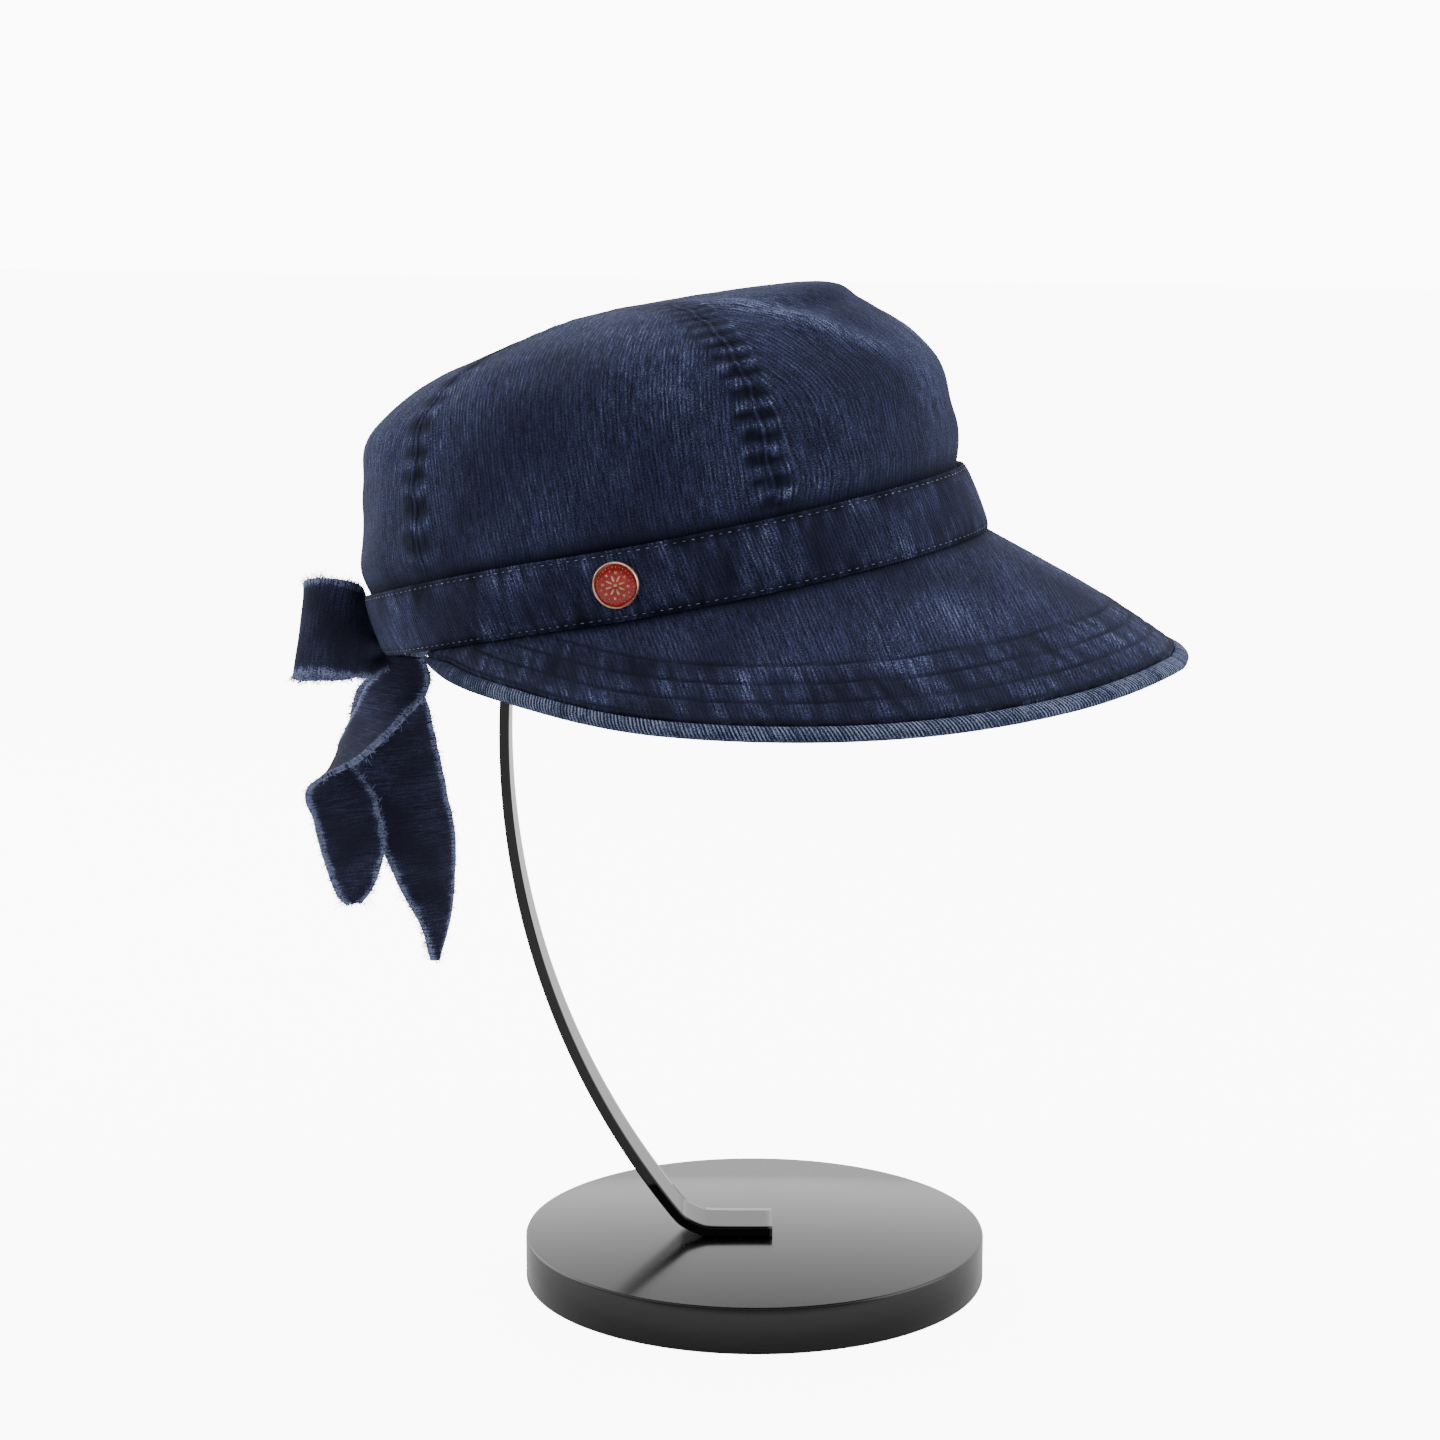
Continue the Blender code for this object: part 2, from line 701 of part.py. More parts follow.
def crown_lining(place):
    """A search tree of the crown's inner side, as placed on the stand."""
    rows = [
        [place @ crown_point(turn, math.pi / 2 * row / CROWN_ROWS, CROWN_WALL) for turn in all_turns()]
        for row in range(CROWN_ROWS)
    ]
    mesh = grid_mesh(rows, True, place @ crown_point(0.0, math.pi / 2, CROWN_WALL))
    return BVHTree.FromBMesh(mesh)


def headroom(lining, path):
    """The least height free between the strip's head and the crown over it."""
    least = CROWN_RISE
    for spot in path[-HEAD_STEPS:]:
        for share in HEADROOM_SHARES:
            start = strip_spot(spot, share) + Vector((0, 0, STRIP_THICKNESS / 2))
            hit = lining.ray_cast(start, Vector((0, 0, 1)))
            if hit[0] is not None:
                least = min(least, hit[3])
    return least


def strip_under_crown(place):
    """The strip's path, with its head raised until it carries the crown."""
    lining = crown_lining(place)
    forward = Vector((math.cos(STRIP_TURN), math.sin(STRIP_TURN), 0))
    rest = place @ crown_point(0.0, STRIP_REST_CLIMB, CROWN_WALL)
    end = Vector((rest.dot(forward), rest.z - CROWN_RISE / 4))
    for _ in range(HEADROOM_PASSES):
        end.y += headroom(lining, strip_path(end)) - 2 * GAP
    return strip_path(end)


def make_strip(place):
    path = strip_under_crown(place)
    rows = [[strip_spot(spot, share) for share in (-0.5, 0.5)] for spot in path]
    piece = make_piece("stand_strip", grid_mesh(rows, closed=False), "black_gloss")
    thicken(piece, STRIP_THICKNESS, 0).modifiers["wall"].use_even_offset = True
    return piece


def make_base():
    radius = BASE_DIAMETER / 2
    profile = (
        (radius - BASE_EDGE, 0),
        (radius, BASE_EDGE),
        (radius, BASE_THICKNESS - BASE_EDGE),
        (radius - BASE_EDGE, BASE_THICKNESS),
    )
    return make_piece("stand_base", loft_mesh(turned_rings(profile, BASE_SIDES)), "black_gloss")


def make_all():
    for old in list(bpy.data.objects):
        bpy.data.objects.remove(old, do_unlink=True)
    middle = Vector((
        -CAP_SETBACK * math.cos(STRIP_TURN),
        -CAP_SETBACK * math.sin(STRIP_TURN),
        CAP_HEIGHT,
    ))
    turned = Matrix.Rotation(CAP_ROLL, 4, "X") @ Matrix.Rotation(-CAP_TILT, 4, "Y")
    place = Matrix.Translation(middle) @ turned
    cap = bpy.data.objects.new("cap_frame", None)
    cap.matrix_world = place
    bpy.context.scene.collection.objects.link(cap)
    make_crown(cap)
    make_band(cap)
    make_peak(cap)
    make_peak_lip(cap)
    make_badge(cap)
    make_knot(cap)
    make_loop("bow_loop_near", -1, cap)
    make_loop("bow_loop_far", 1, cap)
    make_tails(place)
    make_strip(place)
    make_base()


make_all()
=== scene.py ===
"""Looks of the washed denim cap with a bow at the back, on its display stand."""

import math
import random

import bmesh
import bpy
import numpy as np
from mathutils import Matrix, Vector, noise


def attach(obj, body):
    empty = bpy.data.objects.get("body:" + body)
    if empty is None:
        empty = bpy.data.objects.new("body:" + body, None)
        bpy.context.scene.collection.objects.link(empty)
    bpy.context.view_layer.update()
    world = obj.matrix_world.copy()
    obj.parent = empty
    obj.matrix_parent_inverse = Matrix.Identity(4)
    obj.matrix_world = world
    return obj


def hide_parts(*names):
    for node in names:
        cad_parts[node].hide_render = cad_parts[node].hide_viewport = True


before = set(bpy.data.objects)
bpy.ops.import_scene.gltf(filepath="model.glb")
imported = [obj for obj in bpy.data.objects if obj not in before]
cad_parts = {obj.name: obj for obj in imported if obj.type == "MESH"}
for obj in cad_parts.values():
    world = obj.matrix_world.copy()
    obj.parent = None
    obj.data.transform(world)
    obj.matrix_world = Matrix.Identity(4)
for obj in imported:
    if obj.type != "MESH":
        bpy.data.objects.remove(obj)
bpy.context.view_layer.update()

# Clearance between pieces that touch
GAP = 0.0003

# How the cap sits on the stand
STAND_TURN = math.radians(20)
CAP_SETBACK = 0.0250
CAP_HEIGHT = 0.2374
CAP_TILT = math.radians(10.5)
CAP_ROLL = math.radians(1.7)

# Band: lengths fore and aft, widths across, at its foot and at its top
BAND_FOOT_LENGTH = 0.1983
BAND_FOOT_WIDTH = 0.1666
BAND_TOP_LENGTH = 0.1968
BAND_TOP_WIDTH = 0.1685
BAND_HEIGHT = 0.0210
BAND_WALL = 0.0022
BAND_LEAN = 0.0037
BAND_BELLY = 0.0006
BAND_FOOT_LIFT = 0.0018
BAND_TOP_LIFT = 0.0016
BAND_FOOT_DROP = 0.0060
BAND_TOP_DROP = 0.0081
BAND_FOLD = 0.0009
BAND_ROW = 0.0013

# Crown
CROWN_RISE = 0.0674
CROWN_WALL = 0.0014
CROWN_TUCK = 0.0080
CROWN_COLUMNS = ("climb", "front", "side", "back")
CROWN_TABLE = (
    (0, 1.000, 1.000, 1.000),
    (7, 1.022, 1.022, 1.022),
    (15, 1.022, 1.012, 1.004),
    (30, 1.002, 0.978, 0.952),
    (45, 0.885, 0.893, 0.903),
    (60, 0.800, 0.700, 0.630),
    (75, 0.640, 0.370, 0.140),
    (90, 0.000, 0.000, 0.000),
)

# Soft dents of the crown: place and spread in degrees, depth as a share of the rise
DENT_COLUMNS = ("turn", "climb", "turn_spread", "climb_spread", "depth")
DENT_TABLE = (
    (-20, 62, 26, 9, 0.034),
    (24, 58, 24, 10, 0.026),
    (-150, 16, 13, 8, 0.030),
    (152, 20, 15, 9, 0.026),
    (-86, 10, 22, 7, 0.014),
    (84, 14, 20, 8, 0.018),
    (-162, 52, 16, 11, 0.030),
    (-4, 14, 14, 8, 0.016),
)

# Crown seams: place, strength of the puckers and their pitch up the seam
SEAM_COLUMNS = ("turn", "pucker", "pitch")
SEAM_TABLE = (
    (-120, 0.70, 0.0088),
    (-50, 1.00, 0.0068),
    (50, 0.95, 0.0070),
    (120, 0.75, 0.0082),
    (180, 0.70, 0.0080),
)
SEAM_ALLOWANCE = 0.0056
SEAM_EDGE = 0.0006
SEAM_WANDER = 0.0007
SEAM_STEP = 0.0007
SEAM_RUNG_LIFT = 0.00042
SEAM_RUNG_WEAR = 0.40

# Ridge of slack cloth at each side of the crown's front, in degrees, and its height
RIDGE_FOOT_TURN = 17
RIDGE_TOP_TURN = 40
RIDGE_FOOT_CLIMB = 38
RIDGE_TOP_CLIMB = 74
RIDGE_SPREAD = 5.5
RIDGE_LIFT = 0.0009

# Peak
PEAK_WIDTH = 0.0745
PEAK_SWEEP = 127
PEAK_WALL = 0.0022
PEAK_TUCK = 0.0012
PEAK_BULGE = 0.0012
LIP_WIDTH = 0.0055
LIP_THICKNESS = 0.0032
PEAK_COLUMNS = ("round", "width", "slope")
PEAK_TABLE = (
    (0.00, 1.000, 39.5),
    (0.20, 0.940, 41.5),
    (0.39, 0.870, 38.0),
    (0.59, 0.690, 32.5),
    (0.79, 0.362, 30.0),
    (1.00, 0.040, 32.0),
)
PEAK_ROWS_FROM_LIP = (0.0012, 0.0085, 0.0162, 0.0240)

# How far in from the lip the peak puckers, how much of it the band hides, and its grain
PEAK_QUILT = 0.0265
PEAK_HIDDEN = 0.0022
PEAK_GRAIN = math.radians(-60)

# Stitched rows: how wide a row's groove is, and how far from the band's rows it puckers
ROW_SPREAD = 0.0006
BAND_ROW_REACH = 0.0046

# Cells of each cloth, across and along
CROWN_CELLS = (520, 78)
CROWN_HEM_ROWS = 4
BAND_CELLS = (640, 22)
PEAK_CELLS = (560, 56)
LIP_CELLS = (760, 16)
RIBBON_CELLS = (22, 110)
FINE_TURNS = 1441

# Stitches: length, gap and girth
BAND_STITCH = (0.0019, 0.0008, 0.00040)
PEAK_STITCH = (0.0020, 0.0007, 0.00034)

# Frayed threads: how many to a metre of edge, how long and how thick, and their tufts
FRAY_DENSITY = 6500
FRAY_REACH = 0.0023
FRAY_GIRTH = 0.00010
FRAY_TUFT = 0.75
FRAY_TUFT_SPREAD = 0.06

# Badge
BADGE_WIDTH = 0.0140
BADGE_THICKNESS = 0.0020
BADGE_RIM = 0.0008
BADGE_FLOOR = 0.0008
BADGE_SINK = 0.0005
BADGE_TURN = math.radians(-81.0)
BADGE_LEVEL = 0.52
BADGE_SIDES = 96

# Badge flower: width, length, height, reach from the middle, turn off the petal and tilt
FLOWER_PETALS = 8
FLOWER_PARTS = (
    (0.00078, 0.0022, 0.00035, 0.0021, 0.0, 0.0),
    (0.00045, 0.0013, 0.00028, 0.0038, math.pi / 8, 0.7),
    (0.00045, 0.0013, 0.00028, 0.0038, -math.pi / 8, -0.7),
    (0.00055, 0.00055, 0.00028, 0.0044, 0.0, 0.0),
)
FLOWER_HEART = (0.0013, 0.0013, 0.00045, 0.0, 0.0, 0.0)
FLOWER_BEADS = 32
FLOWER_BEAD = (0.00034, 0.00034, 0.00022, 0.0054, 0.0, 0.0)

# Bow
RIBBON_WIDTH = 0.0310
RIBBON_WALL = 0.0014
KNOT_DEPTH = 0.0100
KNOT_WIDTH = 0.0150
KNOT_HEIGHT = 0.0190
KNOT_LEVEL = 0.10
KNOT_END_GIRTH = 0.62
LOOP_LENGTH = 0.0335
LOOP_DEPTH = 0.0150
LOOP_SWEEP = math.radians(14)
LOOP_WIDTH = 0.0300
LOOP_LEAN = 0.0036
LOOP_RISE = math.radians(21)
LOOP_PINCH = 0.54
LOOP_FLARE_END = 0.42
LOOP_LOWER_FLARE_END = 0.72
LOOP_COLUMNS = ("place", "out", "across")
LOOP_TABLE = (
    (0, 0.00, 0.12),
    (1, 0.22, 0.27),
    (2, 0.50, 0.45),
    (3, 0.78, 0.50),
    (4, 0.95, 0.30),
    (5, 1.00, 0.00),
    (6, 0.95, -0.30),
    (7, 0.78, -0.48),
    (8, 0.50, -0.40),
    (9, 0.22, -0.24),
    (10, 0.00, -0.12),
)

# Tails: drop as a share of the length, shifts as shares of the ribbon's width,
# the ribbon's width as a share, and the way that the ribbon's width points
TAIL_COLUMNS = ("drop", "back", "left", "width", "facing")
NEAR_TAIL_LENGTH = 0.0760
NEAR_TAIL_TABLE = (
    (-0.09, -0.18, -0.24, 0.54, -8),
    (0.00, -0.20, -0.26, 0.66, -8),
    (0.07, -0.11, -0.30, 0.76, -10),
    (0.16, 0.03, -0.40, 0.80, -26),
    (0.25, 0.19, -0.46, 0.86, -38),
    (0.33, 0.37, -0.49, 0.88, -50),
    (0.40, 0.54, -0.50, 0.88, -74),
    (0.46, 0.52, -0.50, 0.86, -102),
    (0.52, 0.46, -0.49, 0.84, -117),
    (0.58, 0.40, -0.47, 0.80, -123),
    (0.72, 0.34, -0.43, 0.74, -128),
    (0.87, 0.34, -0.40, 0.56, -128),
    (0.96, 0.35, -0.39, 0.36, -128),
    (1.00, 0.36, -0.38, 0.14, -128),
)
FAR_TAIL_LENGTH = 0.0985
FAR_TAIL_TABLE = (
    (-0.05, 0.03, 0.05, 0.36, 52),
    (0.00, 0.05, 0.12, 0.46, 52),
    (0.08, 0.19, 0.29, 0.78, 54),
    (0.22, 0.21, 0.37, 0.97, 49),
    (0.35, 0.16, 0.38, 1.00, 46),
    (0.46, 0.04, 0.40, 0.95, 53),
    (0.61, -0.10, 0.38, 0.90, 57),
    (0.74, -0.20, 0.35, 0.70, 58),
    (0.87, -0.30, 0.31, 0.38, 58),
    (1.00, -0.32, 0.28, 0.08, 58),
)
TAIL_CURL = 0.05

# Stand
BASE_DIAMETER = 0.1490
BASE_THICKNESS = 0.0150
BASE_EDGE = 0.0008
BASE_SIDES = 192

# Edges of the badge and the stand that stay sharp when shaded
SHARP_ANGLE = math.radians(50)

# Camera
CAMERA_PLACE = (0.3318, -0.9445, 0.3600)
CAMERA_PITCH = math.radians(80)
CAMERA_LENS = 80
CAMERA_SENSOR = 36

# Studio: a white room that is brightest behind the cap
BACKDROP_GLOW = 9.0
SKY_BRIGHT_SIDE = (-0.34, 0.94, 0.25)
SKY_MIDDLE = 0.95
SKY_SWING = 1.05
SKY_LEAST = 0.32
FLOOR_SIZE = 8.0
LAMP_TARGET = (0.0, 0.0, 0.24)
LAMPS = (
    ("left_softbox", (-1.0, 0.25, 0.60), 0.9, 5),
    ("right_softbox", (1.05, 0.25, 0.60), 0.9, 5),
    ("top_softbox", (0.0, 0.30, 1.45), 1.1, 4),
)

# Colours as they look on a screen, 0 to 255
INK = (16, 18, 30)
NAVY = (38, 41, 65)
FADED = (65, 72, 107)
PALE = (128, 136, 170)
DENIM_STOPS = ((0.0, INK), (0.30, NAVY), (0.62, FADED), (1.0, PALE))
BOW_STOPS = ((0.0, (19, 19, 28)), (0.30, (41, 41, 61)), (0.62, (68, 74, 105)), (1.0, PALE))
LIP_STOPS = (
    (0.0, (16, 19, 34)), (0.35, (43, 50, 77)), (0.7, (82, 92, 124)), (1.0, (140, 150, 178)),
)
SHEEN_TINT = (150, 165, 225)

# Denims: what the weave is given, in this order, then the depth of its relief in metres
WEAVE_INPUTS = ("Rib Pitch", "Rib Share", "Contrast", "Base Fade", "Wear And Painted Light Gain")
CAP_WEAVE = (0.00118, 0.17, 0.85, 0.31, 1.0)
CAP_RELIEF = 0.00032
BOW_WEAVE = (0.00118, 0.10, 0.60, 0.36, 1.0)
BOW_RELIEF = 0.00022
LIP_WEAVE = (0.00120, 0.48, 1.25, 0.42, 0.9)
LIP_RELIEF = 0.00045

# Noises of the weave: features to a metre across and along the cloth
WANDER_SCALE = (60.0, 25.0, 1.0)
SLUB_SCALE = (950.0, 80.0, 1.0)
FINE_SCALE = (2200.0, 260.0, 1.0)
SPECK_SCALE = (3000.0, 2400.0, 1.0)
PATCH_SCALE = (70.0, 34.0, 1.0)


def place_of_cap():
    middle = Vector((
        -CAP_SETBACK * math.cos(STAND_TURN),
        -CAP_SETBACK * math.sin(STAND_TURN),
        CAP_HEIGHT,
    ))
    turned = Matrix.Rotation(CAP_ROLL, 4, "X") @ Matrix.Rotation(-CAP_TILT, 4, "Y")
    return Matrix.Translation(middle) @ turned


CAP = np.array(place_of_cap())


def on_stand(points):
    """Points of the cap's own frame as the stand holds them."""
    return points @ CAP[:3, :3].T + CAP[:3, 3]


def mix(low, high, share):
    return low + (high - low) * share


def ease(share):
    share = np.clip(share, 0.0, 1.0)
    return share * share * (3 - 2 * share)


def hump(distance, spread):
    return np.exp(-((distance / spread) ** 2))


def stack(*columns):
    """Columns of numbers side by side, a row for each point."""
    return np.stack(np.broadcast_arrays(*columns), axis=-1).astype(float)


def read_table(columns, rows, at):
    """A table's other columns, by name, at places along its first one, on smooth curves."""
    table = np.array(rows, float)
    keys = table[:, 0]
    at = np.clip(at, keys[0], keys[-1])
    low = np.clip(np.searchsorted(keys, at, side="right") - 1, 0, len(keys) - 2)
    span = keys[low + 1] - keys[low]
    share = (at - keys[low]) / span
    before = np.maximum(np.arange(len(keys)) - 1, 0)
    after = np.minimum(np.arange(len(keys)) + 1, len(keys) - 1)
    found = {}
    for column, name in enumerate(columns[1:], 1):
        values = table[:, column]
        slopes = (values[after] - values[before]) / (keys[after] - keys[before])
        square = share**2
        cube = share**3
        found[name] = (
            (2 * cube - 3 * square + 1) * values[low]
            + (cube - 2 * square + share) * span * slopes[low]
            + (3 * square - 2 * cube) * values[low + 1]
            + (cube - square) * span * slopes[low + 1]
        )
    return found


def cloudy(points, size, seed):
    """Smooth noise from about -1 to 1 at points, with features of a size in metres."""
    shift = Vector((seed * 17.3, seed * 5.1, seed * 9.7))
    scaled = np.asarray(points) / size
    return np.array([noise.noise(Vector(point) + shift) for point in scaled])


def wavy(distance, pitch, seed):
    """A wave along a length whose pitch and height wander, from about -1 to 1."""
    line = stack(distance, 0 * distance, 0 * distance)
    wander = cloudy(line, pitch * 2.2, seed)
    height = 0.75 + 0.45 * cloudy(line, pitch * 1.7, seed + 3)
    return np.cos(2 * math.pi * distance / pitch + 2.2 * wander) * height


# Forms of the cap, in its own frame


def fore_and_aft(turn):
    return np.maximum(0, np.cos(turn)) ** 2, np.maximum(0, -np.cos(turn)) ** 2


def band_outward(turn, level):
    half_length = mix(BAND_FOOT_LENGTH, BAND_TOP_LENGTH, level)
    half_width = mix(BAND_FOOT_WIDTH, BAND_TOP_WIDTH, level)
    across = stack(half_width * np.cos(turn), half_length * np.sin(turn), 0 * turn)
    return across / np.linalg.norm(across, axis=-1, keepdims=True)


def band_points(turn, level, inset=0.0):
    """Points of the band's outer face, level 0 at its foot and 1 at its top, moved in."""
    turn, level, inset = np.broadcast_arrays(turn, level, inset)
    ahead, behind = fore_and_aft(turn)
    lift = mix(BAND_FOOT_LIFT, BAND_TOP_LIFT, level) * ahead
    lift = lift - mix(BAND_FOOT_DROP, BAND_TOP_DROP, level) * behind
    belly = BAND_BELLY * 4 * level * (1 - level)
    points = stack(
        mix(BAND_FOOT_LENGTH, BAND_TOP_LENGTH, level) / 2 * np.cos(turn) - BAND_LEAN * level,
        mix(BAND_FOOT_WIDTH, BAND_TOP_WIDTH, level) / 2 * np.sin(turn),
        (level - 0.5) * BAND_HEIGHT + lift,
    )
    return points + band_outward(turn, level) * (belly - inset)[..., None]


def crown_reach(turn, climb):
    """Half sizes of the crown's level section as a share of the band's."""
    shares = read_table(CROWN_COLUMNS, CROWN_TABLE, np.degrees(climb))
    ahead, behind = fore_and_aft(turn)
    side = shares["side"]
    return side + (shares["front"] - side) * ahead + (shares["back"] - side) * behind


def turned_apart(turn, other):
    """Degrees between two turns round the cap."""
    return (np.degrees(turn) - other + 180) % 360 - 180


def crown_dents(turn, climb):
    dip = 0.0 * turn
    for row in DENT_TABLE:
        dent = dict(zip(DENT_COLUMNS, row))
        aside = turned_apart(turn, dent["turn"]) / dent["turn_spread"]
        above = (np.degrees(climb) - dent["climb"]) / dent["climb_spread"]
        dip = dip + dent["depth"] * CROWN_RISE * np.exp(-aside * aside - above * above)
    return dip * ease(np.degrees(climb) / 10)


def crown_points(turn, climb, proud=0.0):
    ahead, behind = fore_and_aft(turn)
    reach = crown_reach(turn, climb)
    edge = BAND_WALL + GAP
    lift = (BAND_TOP_LIFT * ahead - BAND_TOP_DROP * behind) * np.cos(climb) ** 2
    points = stack(
        (BAND_TOP_LENGTH / 2 - edge) * reach * np.cos(turn) - BAND_LEAN,
        (BAND_TOP_WIDTH / 2 - edge) * reach * np.sin(turn),
        BAND_HEIGHT / 2 + lift + CROWN_RISE * np.sin(climb),
    )
    return points + crown_outward(turn, climb) * (proud - crown_dents(turn, climb))[..., None]


def crown_outward(turn, climb):
    return stack(np.cos(turn) * np.cos(climb), np.sin(turn) * np.cos(climb), np.sin(climb))


def peak_frame(turn):
    """The peak's root, its way down the slope, its upper side, its width and its lip."""
    share_round = np.abs(np.degrees(turn)) / PEAK_SWEEP
    shape = read_table(PEAK_COLUMNS, PEAK_TABLE, share_round)
    slope = np.radians(shape["slope"])
    outward = band_outward(turn, 0.0 * turn)
    root = band_points(turn, 0.0 * turn, PEAK_TUCK) - np.array((0, 0, GAP))
    down = stack(0 * turn, 0 * turn, -np.sin(slope))
    along = outward * np.cos(slope)[..., None] + down
    upper = outward * np.sin(slope)[..., None] + stack(0 * turn, 0 * turn, np.cos(slope))
    width = PEAK_WIDTH * shape["width"]
    lip = np.minimum(LIP_WIDTH, 0.45 * width)
    return root, along, upper, width, lip


def peak_points(turn, share, proud=0.0):
    """Points of the peak's upper face, share 0 at the band and 1 where the lip begins."""
    root, along, upper, width, lip = peak_frame(turn)
    run = (width - lip - GAP) * share
    bulge = PEAK_BULGE * 4 * share * (1 - share) * width / PEAK_WIDTH
    return root + along * run[..., None] + upper * (bulge + proud)[..., None]


def path_length(points):
    steps = np.linalg.norm(np.diff(points, axis=0), axis=1)
    return np.concatenate([[0.0], np.cumsum(steps)])


def along_path(at, run, values):
    """Values of a path's points, three to a point, at lengths along it."""
    return np.stack([np.interp(at, run, values[:, axis]) for axis in range(3)], axis=-1)


def mesh_of(shape, name):
    """A finished bmesh as a mesh."""
    data = bpy.data.meshes.new(name)
    shape.to_mesh(data)
    shape.free()
    return data


def put_in_scene(name, data):
    holder = bpy.data.objects.new(name, data)
    bpy.context.scene.collection.objects.link(holder)
    return holder


def final_mesh(holder):
    """The mesh that an object ends up with, in place of the object."""
    bpy.context.view_layer.update()
    shown = holder.evaluated_get(bpy.context.evaluated_depsgraph_get())
    data = bpy.data.meshes.new_from_object(shown)
    bpy.data.objects.remove(holder)
    return data


# Cloth laid on a form


def cells(columns, rows):
    """A flat grid as a mesh, with each vertex's two shares from 0 to 1."""
    sheet = bmesh.new()
    bmesh.ops.create_grid(sheet, x_segments=columns, y_segments=rows, size=0.5)
    data = mesh_of(sheet, "sheet")
    flat = np.zeros(len(data.vertices) * 3)
    data.vertices.foreach_get("co", flat)
    shares = flat.reshape(-1, 3)[:, :2]
    low = shares.min(axis=0)
    shares = (shares - low) / (shares.max(axis=0) - low)
    return data, shares[:, 0], shares[:, 1]


def corners(data):
    """The vertex of each face corner, and the face of each."""
    vertex = np.zeros(len(data.loops), np.int32)
    data.loops.foreach_get("vertex_index", vertex)
    sides = np.zeros(len(data.polygons), np.int32)
    data.polygons.foreach_get("loop_total", sides)
    return vertex, np.repeat(np.arange(len(sides)), sides)


def dress(data, places, cloth, wear_and_painted_light):
    """Sets a mesh's vertices, its cloth map in metres, and how much each vertex is lightened or
    darkened, by rubbing and by painted light and shade.
    """
    data.vertices.foreach_set("co", places.ravel())
    vertex, _ = corners(data)
    if len(cloth) == len(places):
        cloth = cloth[vertex]
    cloth_map = data.uv_layers.new(name="cloth")
    cloth_map.data.foreach_set("uv", cloth.ravel())
    worn_and_painted_light = data.attributes.new("wear_and_painted_light", "FLOAT", "POINT")
    worn_and_painted_light.data.foreach_set("value", np.broadcast_to(wear_and_painted_light, len(places)).astype(np.float32))
    data.update()


def piece_of(name, data, finish, stands_for=(), weld=False):
    """A finished object on the root body, with its material."""
    data.name = name
    if weld:
        joined = bmesh.new()
        joined.from_mesh(data)
        bmesh.ops.remove_doubles(joined, verts=joined.verts, dist=1e-6)
        joined.to_mesh(data)
        joined.free()
    data.shade_smooth()
    data.materials.clear()
    data.materials.append(finish)
    piece = put_in_scene(name, data)
    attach(piece, "root")
    if stands_for:
        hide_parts(*stands_for)
    return piece


def wall(piece, thickness, offset):
    solidify = piece.modifiers.new("wall", "SOLIDIFY")
    solidify.thickness = thickness
    solidify.offset = offset
    return piece


def crown_turns(share):
    """Turns round the cap for even shares, closer together beside the seams."""
    turn = np.linspace(-180, 180, FINE_TURNS)
    density = np.ones(len(turn))
    for seam, _, _ in SEAM_TABLE:
        density += 1.9 * hump(turned_apart(np.radians(turn), seam), 6.5)
    filled = np.concatenate([[0], np.cumsum((density[1:] + density[:-1]) / 2)])
    return np.radians(np.interp(share, filled / filled[-1], turn))


def crown_climbs(share):
    """Climbs for even steps of cloth from the band to the top."""
    climb = np.radians(np.linspace(0, 90, 181))
    side = crown_points(np.full(181, -0.5 * math.pi), climb)
    front = crown_points(np.zeros(181), climb)
    back = crown_points(np.full(181, math.pi), climb)
    run = (path_length(side) + path_length(front) + path_length(back)) / 3
    return np.interp(share * run[-1], run, climb), share * run[-1]


def seam_relief(turn, climb, up, girth):
    """How far the crown's seams lift and sink its cloth, and how much their rubbing lightens and
    darkens it.
    """
    proud = 0.0 * turn
    worn_and_painted_light = 0.0 * turn
    fade = ease(np.degrees(climb) / 6) * ease((87 - np.degrees(climb)) / 8)
    for number, row in enumerate(SEAM_TABLE):
        seam = dict(zip(SEAM_COLUMNS, row))
        aside = np.radians(turned_apart(turn, seam["turn"])) * girth
        drift = SEAM_WANDER * wavy(up, 0.016, number + 5)
        beside = np.abs(aside + drift)
        flap = 1 / (1 + np.exp((beside - SEAM_ALLOWANCE) / SEAM_EDGE))
        uneven = cloudy(stack(aside, up, 0 * up), 0.0036, number + 40)
        half = np.tanh((aside + drift) / SEAM_STEP)
        climbing = up + 0.0003 * half + 0.0013 * uneven
        rung = np.clip(wavy(climbing, seam["pitch"], number) + 0.55 * uneven, -1, 1)
        rung = rung * seam["pucker"] * (1 - 0.35 * hump(beside, 0.0009))
        rung = rung * (1 - 0.45 * ease((np.degrees(climb) - 45) / 20))
        ridge = hump(beside, 0.0005)
        groove = hump(beside - 0.0010, SEAM_EDGE)
        edge = hump(aside + drift - SEAM_ALLOWANCE, SEAM_EDGE)
        lift = flap * (0.00022 + SEAM_RUNG_LIFT * rung) - 0.00022 * groove + 0.00016 * ridge
        proud = proud + fade * (lift + 0.00010 * edge)
        tone_shift = flap * (SEAM_RUNG_WEAR * rung - 0.13) - 0.16 * groove + 0.16 * ridge + 0.13 * edge
        worn_and_painted_light = worn_and_painted_light + fade * tone_shift
    return proud, worn_and_painted_light


def front_ridge(turn, climb):
    """A soft ridge that slants down each side of the crown's front, from 0 to 1."""
    aside = np.abs(np.degrees(turn))
    above = np.degrees(climb)
    share = np.clip((above - RIDGE_FOOT_CLIMB) / (RIDGE_TOP_CLIMB - RIDGE_FOOT_CLIMB), 0, 1)
    middle = mix(RIDGE_FOOT_TURN, RIDGE_TOP_TURN, share)
    ends = ease((above - RIDGE_FOOT_CLIMB + 6) / 10) * ease((RIDGE_TOP_CLIMB + 4 - above) / 10)
    return hump(aside - middle, RIDGE_SPREAD) * ends


